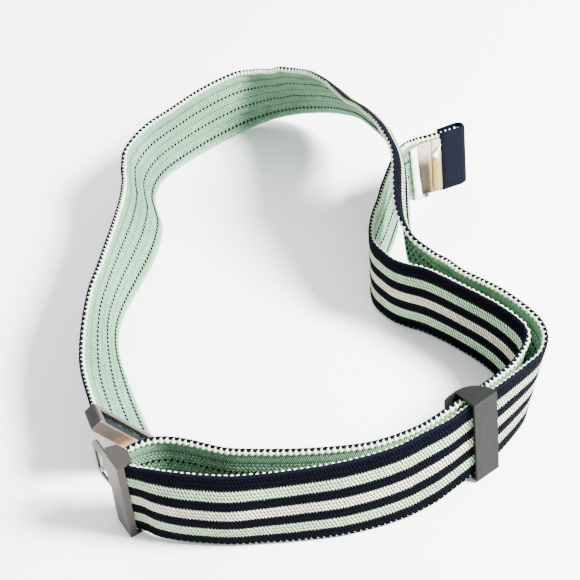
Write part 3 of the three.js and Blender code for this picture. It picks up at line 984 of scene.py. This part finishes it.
def add_webbing(sizes, material):
    """The knitted strap: a dome for each stripe, and a slow ripple with the courses."""
    crest = STRAP_THICKNESS / 2
    steps = int(STRAP_END / (sizes.picot_pitch / 3))
    distance = np.linspace(0, STRAP_END, steps)
    fine = stripe_share(np.linspace(0, STRIPES, 4 * STRIPES + 1))
    edge_shares = np.array([0.006, 0.02])
    share = np.unique(np.round(np.concatenate([fine, edge_shares, 1 - edge_shares]), 6))
    striped = rib_offset(share, crest, crest - sizes.rib_height, sizes.rim_radius)
    plain = -rib_offset(share, crest - PLAIN_SUNK, crest - sizes.rib_height, sizes.rim_radius)
    ring_share = np.concatenate([share, share[::-1]])
    ring_offset = np.concatenate([striped, plain[::-1]])
    side = np.concatenate([np.ones_like(striped), -np.ones_like(plain)])
    stripe = np.floor(stripe_count(np.clip(ring_share, 0, 0.999)))
    course = 2 * math.pi * distance[:, None] / sizes.picot_pitch + math.pi * stripe
    ripple = 1 + sizes.course_ripple / crest * np.sin(course)
    offset = ring_offset * ripple
    width = STRAP_WIDTH - 2 * KNIT_TUCK
    points = on_strap(distance[:, None], ring_share, offset, width, KNIT_TUCK)
    shape = offset.shape
    readings = {
        "along": np.broadcast_to(distance[:, None] / MM, shape),
        "across": np.broadcast_to(stripe_count(ring_share), shape),
        "side": np.broadcast_to(side, shape),
    }
    faces = band_faces(*shape)
    piece = new_piece("webbing_knit", points, faces, material, readings)
    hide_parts("webbing")
    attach(piece, "root")
    return piece


def on_rim(distance, depth, stand, upper):
    """Points near one edge: how deep below it, and how far out towards the striped side.

    Where the strap tips towards its striped side, its soft upper rim rolls back upright.
    """
    if not upper:
        return on_strap(distance, depth / STRAP_WIDTH, stand)
    row = smooth_rows(distance)
    lean_at_top = row[..., 3] + row[..., 5] / 2
    roll = np.radians(ROLL_SHARE * np.clip(lean_at_top, 0, ROLL_STEEPEST))
    roll = roll * np.clip(1 - (depth - RIM_MIDDLE) / ROLL_DEPTH, 0, 1)
    rise = RIM_MIDDLE - depth
    turned_rise = rise * np.cos(roll) + stand * np.sin(roll)
    turned_out = stand * np.cos(roll) - rise * np.sin(roll)
    return on_strap(distance, 1 - (RIM_MIDDLE - turned_rise) / STRAP_WIDTH, turned_out)


def add_picots(name, sizes, material):
    """Pale yarn looped over one edge of the strap: a lobe on the plain side, a tooth on the edge."""
    upper, look = PICOTS[name]["upper"], PICOTS[name]["look"]
    marks = np.arange(FIRST_PICOT, STRAP_END - BARE_END, sizes.picot_pitch)[:, None]
    seeded = np.random.default_rng(PICOTS[name]["seed"])
    depth, stand, width, height, onward = (np.array(column) * MM for column in zip(*look))
    jitter = seeded.normal(0, 0.00007, (len(marks), 2))
    swell = 1 + seeded.normal(0, 0.05, (len(marks), 1))
    distance = marks + onward + jitter[:, :1]
    depth = depth + jitter[:, 1:]
    path = on_rim(distance, depth, stand, upper)
    run = unit(np.gradient(path, axis=1))
    travel = strap_axes(distance, np.full_like(distance, 1 if upper else 0))["travel"]
    out = unit(np.cross(run, travel))
    width = np.broadcast_to(width * swell, distance.shape)
    height = np.broadcast_to(height * swell, distance.shape)
    points = tube_points(path, unit(np.cross(out, run)), width, out, height, 8)
    piece = add_tubes(name, points, material)
    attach(piece, "root")
    return piece


def add_rim_cord(name, sizes, material):
    """A yarn along one edge that swells between the picots."""
    cord = RIM_CORDS[name]
    distance = np.arange(0.002, STRAP_END - 0.0025, sizes.picot_pitch / 6)
    turn = math.pi * (distance - FIRST_PICOT - PICOT_LAG) / sizes.picot_pitch
    swell = cord["radius"] * (1 - CORD_DIP + CORD_DIP * np.abs(np.sin(turn)) ** 0.7)
    path = on_rim(distance, np.full_like(distance, cord["depth"]), cord["stand"], cord["upper"])
    axes = strap_axes(distance, np.full_like(distance, 1 if cord["upper"] else 0))
    points = tube_points(path, axes["normal"], swell, axes["across"], swell, 8)[None]
    piece = add_tubes(name, points, material)
    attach(piece, "root")
    return piece


def add_dashes(name, sizes, material):
    """A dashed line of navy stitches that stand a little proud of the plain side."""
    dash, pitch = DASHES[name], sizes.picot_pitch
    marks = np.arange(DASH_START + DASH_PHASE * pitch, ROUTE_LENGTH - DASH_STOP, pitch)
    gap = REACH[np.argmin(np.abs(ROUTE[:, 0] - fold_rows()[0][0]))] + DASH_GAP_MIDDLE
    marks = marks[np.abs(marks - gap) > DASH_GAP_HALF][:, None]
    along = np.linspace(-0.5, 0.5, 5)[None, :]
    distance = marks + along * sizes.dash_length
    climb = np.broadcast_to(along * DASH_CLIMB / STRAP_WIDTH, distance.shape)
    shares = stripe_share(dash["stripe"]) + climb
    path = on_strap(distance, shares, PLAIN_SUNK - STRAP_THICKNESS / 2)
    axes = strap_axes(distance, shares)
    swell = np.array([0.45, 0.95, 1.0, 0.95, 0.45])
    width = np.broadcast_to(swell * dash["half_width"], distance.shape)
    height = np.broadcast_to(swell * dash["half_height"], distance.shape)
    points = tube_points(path, axes["across"], width, axes["normal"], height, 6)
    piece = add_tubes(name, points, material)
    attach(piece, "root")
    return piece


# Folded tapes and labels


def folded_ring(profile, thickness):
    """Both sides of a folded cloth, from a line of places: back, out and height."""
    line = np.array(profile, float)
    run = np.gradient(line, axis=0)
    side = np.zeros_like(line)
    side[:, :2] = unit(np.stack([-run[:, 1], run[:, 0]], -1)) * thickness / 2
    return np.concatenate([line + side, (line - side)[::-1]])


def rounded_line(corners, bend, steps=4):
    """A line through corners given in section, each corner rounded off by its bend."""
    corners = np.array(corners, float)
    line = [corners[0]]
    for before, corner, after in zip(corners, corners[1:], corners[2:]):
        near = corner + unit(before - corner) * min(bend, np.linalg.norm(before - corner) * 0.45)
        far = corner + unit(after - corner) * min(bend, np.linalg.norm(after - corner) * 0.45)
        for t in np.linspace(0, 1, steps):
            line.append((1 - t) ** 2 * near + 2 * t * (1 - t) * corner + t**2 * far)
    line.append(corners[-1])
    return np.array(line)


def add_folded_cloth(name, material, rings):
    """A closed cloth shell on the tail. Its rings hold how far back, how far out and how high."""
    rings = np.array(rings)
    points = on_strap(ROUTE_LENGTH - rings[..., 0], rings[..., 2] / STRAP_WIDTH, -rings[..., 1])
    readings = {"along": rings[..., 0] / MM, "across": rings[..., 2] / MM}
    piece = new_piece(name, points, band_faces(*points.shape[:2]), material, readings)
    face_outwards(piece)
    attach(piece, "root")
    return piece


def add_end_cap(sizes, material, thread):
    """The navy tape folded round the tail's cut end, with a stitched line near its mouth."""
    thickness = sizes.tape_thickness
    near_ends = np.array([0, 0.0004, 0.0012])
    heights = [*(CAP_FOOT + near_ends), *np.linspace(0.004, 0.037, 9), *(CAP_HEIGHT - near_ends[::-1])]
    rings = []
    for height in heights:
        near = min(height - CAP_FOOT, CAP_HEIGHT - height)
        short = max(CAP_CORNER - near, 0)
        nose = CAP_CORNER - math.sqrt(CAP_CORNER**2 - short**2)
        bulge = 0.0019 + 0.0001 * math.sin(height / 0.006)
        half = [
            (CAP_REACH, -CAP_SIDE), (0.012, -0.00172), (0.009, -0.0018), (0.005, -bulge),
            (0.0022 + nose, -bulge), (0.0005 + nose, -0.0013), (0.0004 + nose, 0),
        ]
        line = half + [(back, -out) for back, out in half[-2::-1]]
        line = rounded_line([(back, out, height) for back, out in line], 0.0008)
        rings.append(folded_ring(line, thickness))
    piece = add_folded_cloth("cap_tape", material, rings)
    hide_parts("end_cap")

    height = np.arange(0.0022, 0.0395, SEAM_PITCH)[:, None]
    share = (height + np.linspace(-0.4, 0.4, 4)[None, :] * SEAM_PITCH) / STRAP_WIDTH
    distance = np.full_like(share, ROUTE_LENGTH - SEAM_BACK)
    axes = strap_axes(distance, share)
    swell = np.broadcast_to([0.5, 1, 1, 0.5], share.shape) * SEAM_RADIUS
    seams = []
    for side in (1, -1):
        path = on_strap(distance, share, side * (CAP_SIDE + thickness / 2))
        seams.append(tube_points(path, axes["travel"], swell, axes["normal"], swell * 0.8, 6))
    seam = add_tubes("cap_stitches", np.concatenate(seams), thread)
    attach(seam, "root")


def add_label(node, sizes, material):
    """A small satin label, folded double and sewn to the plain side of the tail."""
    cut = LABELS[node]
    low, high = np.array(cut["low"]) * MM, np.array(cut["high"]) * MM
    rings = []
    for share in np.linspace(0, 1, 26):
        line = rounded_line(low + (high - low) * share, 0.0004)
        free = np.clip(line[:, 1] / MM - LABEL_SEWN, 0, 1)
        line[:, 1] += free * cut["crumple"] * MM * np.sin(19 * share + line[:, 0] / 0.0011)
        rings.append(folded_ring(line, sizes.label_thickness))
    piece = add_folded_cloth(node + "_fold", material, rings)
    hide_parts(node)
    return piece


def add_dog_ear(sizes, material):
    """The corner of the last label that is turned down over its front."""
    rings = []
    for height, near, far in DOG_EAR:
        line = [(near, 2.3, height), ((near + far) / 2, 2.75, height), (far, 3.1, height)]
        rings.append(folded_ring(np.array(line) * MM, sizes.label_thickness))
    piece = add_folded_cloth("label_dog_ear", material, rings)


def add_frays(thread):
    """Loose dark threads at the foot of the beige label."""
    seeded = np.random.default_rng(FRAYS["seed"])
    each = (FRAYS["count"], 1)
    foot = np.linspace(*FRAYS["back"], FRAYS["count"])[:, None]
    rise = np.linspace(0, 1, 6)[None, :]
    back = foot + seeded.normal(0, 0.0003, each) * (1 - rise)
    height = FRAYS["foot"] + rise * seeded.uniform(*FRAYS["rise"], each)
    out = FRAYS["out"] + FRAYS["splay"] * (1 - rise) ** 2 + seeded.normal(0, 0.00015, each)
    path = on_strap(ROUTE_LENGTH - back, height / STRAP_WIDTH, -out)
    axes = strap_axes(ROUTE_LENGTH - back, height / STRAP_WIDTH)
    radius = np.full_like(back, FRAYS["radius"])
    points = tube_points(path, axes["travel"], radius, axes["normal"], radius, 6)
    piece = add_tubes("label_frays", points, thread)
    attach(piece, "root")


# Metal fittings


def turned(heading, tilt, corner):
    """A fitting's own axes in the frame: turned to its heading, tilted, and set at its corner."""
    turn = Matrix.Rotation(math.radians(heading), 4, "Z") @ Matrix.Rotation(math.radians(-tilt), 4, "X")
    place = Matrix.Translation(Vector(corner) - Vector((*FOOTPRINT_CENTRE, 0)))
    return place @ turn


def loop_axes():
    """The loop frame's own axes: down its long side, to its front, and out through it."""
    heading, lean = math.radians(LOOP_HEADING), math.radians(LOOP_LEAN)
    front = Vector((-math.cos(heading), -math.sin(heading), 0))
    left = Vector((-math.sin(heading), math.cos(heading), 0))
    down = -math.cos(lean) * Vector((0, 0, 1)) - math.sin(lean) * left
    turn = Matrix((down, front, down.cross(front))).transposed().to_4x4()
    return Matrix.Translation(Vector(LOOP_CORNER) - Vector((*FOOTPRINT_CENTRE, 0))) @ turn


def add_fitting(name, node, axes, bevel, face_material, edge_material):
    """A fitting from its solid, with its sheet edges rounded and its own axes kept as readings."""
    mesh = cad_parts[node].data.copy()
    mesh.name = name
    shell = bmesh.new()
    shell.from_mesh(mesh)
    bmesh.ops.remove_doubles(shell, verts=shell.verts, dist=1e-6)
    bmesh.ops.join_triangles(
        shell, faces=shell.faces, angle_face_threshold=math.radians(1), angle_shape_threshold=math.pi
    )
    for face in shell.faces:
        face.material_index = 0
        face.smooth = True
    sharp = [edge for edge in shell.edges if edge.is_manifold and edge.calc_face_angle() > math.radians(30)]
    bmesh.ops.bevel(
        shell, geom=sharp, offset=bevel, segments=2, profile=0.5, affect="EDGES",
        clamp_overlap=True, material=1, harden_normals=False,
    )
    shell.to_mesh(mesh)
    shell.free()
    mesh.materials.clear()
    mesh.materials.append(face_material)
    mesh.materials.append(edge_material)
    own = axes.inverted()
    places = np.array([own @ vertex.co for vertex in mesh.vertices]) / MM
    for label, column in (("along", 0), ("across", 1), ("through", 2)):
        layer = mesh.attributes.new(label, "FLOAT", "POINT")
        layer.data.foreach_set("value", places[:, column].astype(np.float32))
    mesh.set_sharp_from_angle(angle=math.radians(28))
    piece = bpy.data.objects.new(name, mesh)
    bpy.context.scene.collection.objects.link(piece)
    flattened = piece.modifiers.new("Flat faces", "WEIGHTED_NORMAL")
    flattened.keep_sharp = True
    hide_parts(node)
    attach(piece, "root")
    return piece


def loop_tarnish(wires, plain):
    """Brown and copper tarnish on the loop frame's front face, darker towards its upper end."""
    along, through = wires.reading("along"), wires.reading("through")
    front = wires.calc("GREATER_THAN", wires.reading("across"), TARNISH_FRONT)
    bow = wires.calc("MULTIPLY", wires.calc("SUBTRACT", through, 3.0), 0.55)
    uneven = wires.calc("MULTIPLY", wires.noise(wires.place(), scale=300.0, detail=3.0), 3.0)
    place = wires.calc("ADD", wires.calc("ADD", along, bow), uneven)
    worn = wires.ramp(wires.calc("DIVIDE", place, TARNISH_LENGTH), screen_stops(TARNISH))
    return wires.mix(front, plain, worn)


def add_start_tape(material):
    """The navy tape that is folded into the loop frame's slot."""
    inset, recess = 0.0003, 0.0009
    back, front = LOOP_SLOT["back"] + 0.0006, LOOP_SLOT["front"] - inset
    low, high = recess, LOOP_THICKNESS - recess
    middle = (back + front) / 2
    ring = np.array([
        (back, low + 0.001), (back + 0.0009, low), (front - 0.0009, low), (front, low + 0.001),
        (front, high - 0.0012), (front - 0.0008, high - 0.0002), (middle + 0.0012, high),
        (middle + 0.0003, high - 0.0005), (middle - 0.0005, high - 0.0001), (middle - 0.0018, high),
        (back + 0.0007, high - 0.0003), (back, high - 0.0013),
    ])
    steps = np.linspace(LOOP_SLOT["start"] + inset, LOOP_SLOT["end"] - inset, 40)
    axes = loop_axes()
    points = np.array([[axes @ Vector((u, v, w)) for v, w in ring] for u in steps])
    shape = points.shape[:2]
    readings = {
        "along": np.broadcast_to(steps[:, None] / MM, shape),
        "across": np.broadcast_to(ring[:, 0] / MM, shape),
    }
    piece = new_piece("start_tape_fold", points, band_faces(*shape), material, readings)
    face_outwards(piece)
    soften = piece.modifiers.new("Soft folds", "SUBSURF")
    soften.levels = soften.render_levels = 1
    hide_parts("start_tape")
    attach(piece, "root")


# The stage


def add_camera():
    """The camera looks from the front at the origin of the strap's rows, rolled a little."""
    elevation, roll = math.radians(CAMERA_ELEVATION), math.radians(CAMERA_ROLL)
    forward = Vector((0, math.cos(elevation), -math.sin(elevation)))
    level = Vector((1, 0, 0))
    upright = Vector((0, math.sin(elevation), math.cos(elevation)))
    right = math.cos(roll) * level - math.sin(roll) * upright
    above = math.sin(roll) * level + math.cos(roll) * upright
    data = bpy.data.cameras.new("camera")
    data.lens = CAMERA_LENS
    data.sensor_width = 36
    data.clip_start = 0.01
    camera = bpy.data.objects.new("camera", data)
    spot = Vector((0, -CAMERA_HEIGHT / math.tan(elevation), CAMERA_HEIGHT))
    spot -= Vector((*FOOTPRINT_CENTRE, 0))
    turn = Matrix((right, above, -forward)).transposed().to_4x4()
    camera.matrix_world = Matrix.Translation(spot) @ turn
    bpy.context.scene.collection.objects.link(camera)
    bpy.context.scene.camera = camera


def add_lamp(name, power, spot, size, colour):
    """A round lamp that faces the belt."""
    data = bpy.data.lights.new(name, "AREA")
    data.shape = "DISK"
    data.size = size
    data.energy = power
    data.color = colour
    lamp = bpy.data.objects.new(name, data)
    direction = Vector(LAMP_AIM) - Vector(spot)
    turn = direction.to_track_quat("-Z", "Y").to_matrix().to_4x4()
    lamp.matrix_world = Matrix.Translation(spot) @ turn
    bpy.context.scene.collection.objects.link(lamp)


def add_floor(colour):
    """The floor, very faintly mottled."""
    material, wires, shader = new_material("studio_floor", 0.75, Specular_IOR_Level=0.2)
    mottle = wires.noise(wires.place(), scale=9.0, detail=3.0)
    tone = wires.span(mottle, 0.3, 0.7, 0.975, 1.0)
    wires.feed(shader["Base Color"], wires.mix(tone, (0, 0, 0, 1), opaque(colour)))
    corners = [(x * FLOOR_HALF, y * FLOOR_HALF, 0) for x, y in ((-1, -1), (1, -1), (1, 1), (-1, 1))]
    mesh = bpy.data.meshes.new("floor")
    mesh.from_pydata(corners, [], [(0, 1, 2, 3)])
    mesh.materials.append(material)
    floor = bpy.data.objects.new("floor", mesh)
    bpy.context.scene.collection.objects.link(floor)


def add_sky(strength, colour):
    """Even light from the room all round."""
    world = bpy.data.worlds.new("studio")
    world.use_nodes = True
    background = world.node_tree.nodes["Background"]
    background.inputs["Color"].default_value = opaque(colour)
    background.inputs["Strength"].default_value = strength
    bpy.context.scene.world = world


# Sizes and colours that a user would change


class BeltSizes(bpy.types.PropertyGroup):
    """Sizes of the belt's knit, edges, tapes and metal."""

    picot_pitch: bpy.props.FloatProperty(
        name="Picot pitch", description="Length of strap from one picot to the next",
        default=0.00255, unit="LENGTH",
    )
    rim_radius: bpy.props.FloatProperty(
        name="Rim radius", description="Radius of the strap's rounded edges",
        default=0.00095, unit="LENGTH",
    )
    rib_height: bpy.props.FloatProperty(
        name="Rib height", description="How deep the grooves between the stripes are",
        default=0.00022, unit="LENGTH",
    )
    course_ripple: bpy.props.FloatProperty(
        name="Course ripple", description="How far the faces swell with each course of the knit",
        default=0.00006, unit="LENGTH",
    )
    dash_length: bpy.props.FloatProperty(
        name="Dash length", description="Length of a navy stitch on the plain side",
        default=0.0011, unit="LENGTH",
    )
    tape_thickness: bpy.props.FloatProperty(
        name="Tape thickness", description="Thickness of the navy tape that binds the tail",
        default=0.0008, unit="LENGTH",
    )
    label_thickness: bpy.props.FloatProperty(
        name="Label thickness", description="Thickness of the satin labels",
        default=0.0003, unit="LENGTH",
    )
    metal_bevel: bpy.props.FloatProperty(
        name="Metal edge radius", description="How much the sheet metal's edges are rounded",
        default=0.00025, unit="LENGTH",
    )


class BeltColours(bpy.types.PropertyGroup):
    """Colours of the belt's yarns, tapes, labels and metal."""

    navy: bpy.props.FloatVectorProperty(
        name="Navy yarn", description="Dark stripes, rims and dashed lines",
        default=linear_colour(7, 9, 20), subtype="COLOR",
    )
    mint: bpy.props.FloatVectorProperty(
        name="Mint yarn", description="Plain side and the lower picots",
        default=linear_colour(128, 171, 140), subtype="COLOR",
    )
    pale_mint: bpy.props.FloatVectorProperty(
        name="Pale mint yarn", description="Two of the stripes",
        default=linear_colour(206, 246, 202), subtype="COLOR",
    )
    cream: bpy.props.FloatVectorProperty(
        name="Cream yarn", description="Middle stripe",
        default=linear_colour(252, 250, 224), subtype="COLOR",
    )
    picot: bpy.props.FloatVectorProperty(
        name="Picot yarn", description="Upper picots and the pale rim yarn",
        default=linear_colour(200, 218, 187), subtype="COLOR",
    )
    tape: bpy.props.FloatVectorProperty(
        name="Tape", description="Binding of the tail and the loop frame's tape",
        default=linear_colour(6, 11, 22), subtype="COLOR",
    )
    white_satin: bpy.props.FloatVectorProperty(
        name="White satin", description="Folded white label",
        default=linear_colour(246, 242, 230), subtype="COLOR",
    )
    beige_satin: bpy.props.FloatVectorProperty(
        name="Beige satin", description="Pale upper part of the folded beige labels",
        default=linear_colour(200, 192, 170), subtype="COLOR",
    )
    slider: bpy.props.FloatVectorProperty(
        name="Slider", description="Dark satin metal",
        default=linear_colour(23, 24, 23), subtype="COLOR",
    )
    nickel: bpy.props.FloatVectorProperty(
        name="Nickel", description="Warm grey metal of the hook plate and the loop frame",
        default=linear_colour(50, 46, 43), subtype="COLOR",
    )


class BeltStage(bpy.types.PropertyGroup):
    """Light and floor round the belt."""

    key_power: bpy.props.FloatProperty(
        name="Key light", description="Power of the light from the upper right",
        default=145.0, unit="POWER",
    )
    fill_power: bpy.props.FloatProperty(
        name="Fill light", description="Power of the broad light from behind",
        default=22.0, unit="POWER",
    )
    sky_strength: bpy.props.FloatProperty(
        name="Room light", description="Brightness of the room all round",
        default=1.36,
    )
    floor: bpy.props.FloatVectorProperty(
        name="Floor", description="Colour of the floor",
        default=linear_colour(254, 254, 255), subtype="COLOR",
    )


# Operators


class BELT_OT_webbing(bpy.types.Operator):
    """Add the knitted strap"""

    bl_idname = "belt.webbing"
    bl_label = "Webbing"

    def execute(self, context):
        sizes, colours = context.scene.belt_sizes, context.scene.belt_colours
        add_webbing(sizes, knit_material(sizes, colours))
        return {"FINISHED"}


class BELT_OT_edges(bpy.types.Operator):
    """Add the picots and the rim yarns along both edges of the strap"""

    bl_idname = "belt.edges"
    bl_label = "Edges"

    def execute(self, context):
        sizes, colours = context.scene.belt_sizes, context.scene.belt_colours
        picot = yarn_material("picot_yarn", colours.picot, turns=1.5, depth=0.25)
        plain = yarn_material("edge_yarn", colours.mint, turns=1.5, depth=0.25)
        rim = yarn_material("rim_yarn", colours.navy, turns=700.0, depth=0.5)
        add_picots("picots_upper", sizes, picot)
        add_picots("picots_lower", sizes, plain)
        add_rim_cord("rim_cord_pale", sizes, picot)
        add_rim_cord("rim_cord_upper", sizes, rim)
        add_rim_cord("rim_cord_lower", sizes, rim)
        return {"FINISHED"}


class BELT_OT_dashes(bpy.types.Operator):
    """Add the dashed navy lines on the plain side"""

    bl_idname = "belt.dashes"
    bl_label = "Dashed lines"

    def execute(self, context):
        sizes, colours = context.scene.belt_sizes, context.scene.belt_colours
        thread = yarn_material("dash_yarn", colours.navy, turns=2.0, depth=0.3)
        for name in DASHES:
            add_dashes(name, sizes, thread)
        return {"FINISHED"}


class BELT_OT_end_cap(bpy.types.Operator):
    """Add the navy tape that binds the tail"""

    bl_idname = "belt.end_cap"
    bl_label = "End cap"

    def execute(self, context):
        sizes, colours = context.scene.belt_sizes, context.scene.belt_colours
        tape = tape_material(
            "cap_tape", colours.tape, warp=0.34, weft=0.42, roughness=0.75, depth=0.45,
            bump=0.00012, Specular_IOR_Level=0.03,
        )
        thread = yarn_material("cap_thread", colours.navy, turns=2.0, depth=0.3)
        add_end_cap(sizes, tape, thread)
        return {"FINISHED"}


class BELT_OT_labels(bpy.types.Operator):
    """Add the folded satin labels"""

    bl_idname = "belt.labels"
    bl_label = "Labels"

    def execute(self, context):
        sizes, colours = context.scene.belt_sizes, context.scene.belt_colours
        white = satin_material("white_satin", colours.white_satin)
        beige = satin_material("beige_satin", colours.beige_satin, label_tones_and_shade)
        add_label("label_white", sizes, white)
        add_label("label_beige", sizes, beige)
        add_label("label_corner", sizes, beige)
        add_dog_ear(sizes, white)
        add_frays(yarn_material("fray_yarn", linear_colour(*FRAY_COLOUR), turns=2.0, depth=0.5))
        return {"FINISHED"}


class BELT_OT_slider(bpy.types.Operator):
    """Add the dark metal slider"""

    bl_idname = "belt.slider"
    bl_label = "Slider"

    def execute(self, context):
        sizes, colours = context.scene.belt_sizes, context.scene.belt_colours
        face = metal_material(
            "slider_metal", colours.slider, roughness=0.6, brushing=0.9, blotching=0.3,
            pitting=0.15, metallic=0.35, specular=0.08,
        )
        # The rounded edges get a brighter copy of the metal: a painted highlight
        edge = metal_material(
            "slider_edges", brighter(colours.slider, SLIDER_EDGE_HIGHLIGHT), roughness=0.32, brushing=0.3,
            blotching=0.3, pitting=0.2,
        )
        axes = turned(SLIDER_HEADING, SLIDER_TILT, SLIDER_CORNER)
        add_fitting("slider_body", "slider", axes, sizes.metal_bevel, face, edge)
        return {"FINISHED"}


class BELT_OT_hook_plate(bpy.types.Operator):
    """Add the warm grey hook plate"""

    bl_idname = "belt.hook_plate"
    bl_label = "Hook plate"

    def execute(self, context):
        sizes, colours = context.scene.belt_sizes, context.scene.belt_colours
        face = metal_material(
            "hook_metal", colours.nickel, roughness=0.45, brushing=0.22, blotching=0.2, pitting=0.12
        )
        # The rounded edges get a brighter copy of the metal: a painted highlight
        edge = metal_material(
            "hook_edges", brighter(colours.nickel, HOOK_EDGE_HIGHLIGHT), roughness=0.34, brushing=0.2,
            blotching=0.3, pitting=0.25,
        )
        axes = turned(HOOK_HEADING, 0, HOOK_CORNER)
        add_fitting("hook_body", "hook_plate", axes, sizes.metal_bevel, face, edge)
        return {"FINISHED"}


class BELT_OT_loop_frame(bpy.types.Operator):
    """Add the loop frame and the tape in its slot"""

    bl_idname = "belt.loop_frame"
    bl_label = "Loop frame"

    def execute(self, context):
        sizes, colours = context.scene.belt_sizes, context.scene.belt_colours
        face = metal_material(
            "loop_metal", colours.nickel, roughness=0.4, brushing=0.15, blotching=0.45, pitting=0.3,
            tarnish=loop_tarnish,
        )
        # The rounded edges get a brighter copy of the metal: a painted highlight
        edge = metal_material(
            "loop_edges", brighter(colours.nickel, LOOP_EDGE_HIGHLIGHT), roughness=0.32, brushing=0.2,
            blotching=0.4, pitting=0.35,
        )
        add_fitting("loop_body", "loop_frame", loop_axes(), sizes.metal_bevel, face, edge)
        tape = tape_material(
            "start_tape", colours.tape, warp=0.34, weft=0.42, roughness=0.55, depth=0.4,
            bump=0.00006, Specular_IOR_Level=0.06,
        )
        add_start_tape(tape)
        return {"FINISHED"}


class BELT_OT_stage(bpy.types.Operator):
    """Add the camera, the floor and the lights"""

    bl_idname = "belt.stage"
    bl_label = "Stage"

    def execute(self, context):
        stage = context.scene.belt_stage
        add_camera()
        add_floor(stage.floor)
        add_sky(stage.sky_strength, ROOM_COLOUR)
        add_lamp("key", stage.key_power, **KEY_LAMP)
        add_lamp("fill", stage.fill_power, **FILL_LAMP)
        return {"FINISHED"}


PIECE_OPERATORS = (
    BELT_OT_webbing,
    BELT_OT_edges,
    BELT_OT_dashes,
    BELT_OT_end_cap,
    BELT_OT_labels,
    BELT_OT_slider,
    BELT_OT_hook_plate,
    BELT_OT_loop_frame,
    BELT_OT_stage,
)


class BELT_PT_pieces(bpy.types.Panel):
    """The belt's pieces, sizes and colours"""

    bl_idname = "BELT_PT_pieces"
    bl_label = "Belt"
    bl_space_type = "VIEW_3D"
    bl_region_type = "UI"
    bl_category = "Belt"

    def draw(self, context):
        for settings in (context.scene.belt_sizes, context.scene.belt_colours, context.scene.belt_stage):
            box = self.layout.box()
            for label in settings.bl_rna.properties.keys():
                if label not in ("rna_type", "name"):
                    box.prop(settings, label)
        for operator in PIECE_OPERATORS:
            self.layout.operator(operator.bl_idname)


CLASSES = (BeltSizes, BeltColours, BeltStage, *PIECE_OPERATORS, BELT_PT_pieces)


def register():
    """Add the belt's settings, operators and panel to Blender."""
    for item in CLASSES:
        bpy.utils.register_class(item)
    bpy.types.Scene.belt_sizes = bpy.props.PointerProperty(type=BeltSizes)
    bpy.types.Scene.belt_colours = bpy.props.PointerProperty(type=BeltColours)
    bpy.types.Scene.belt_stage = bpy.props.PointerProperty(type=BeltStage)


def unregister():
    """Take the belt's settings, operators and panel out of Blender."""
    del bpy.types.Scene.belt_stage
    del bpy.types.Scene.belt_colours
    del bpy.types.Scene.belt_sizes
    for item in reversed(CLASSES):
        bpy.utils.unregister_class(item)


def main():
    """Make every piece."""
    register()
    for operator in PIECE_OPERATORS:
        group, action = operator.bl_idname.split(".")
        getattr(getattr(bpy.ops, group), action)()


if __name__ == "__main__":
    main()
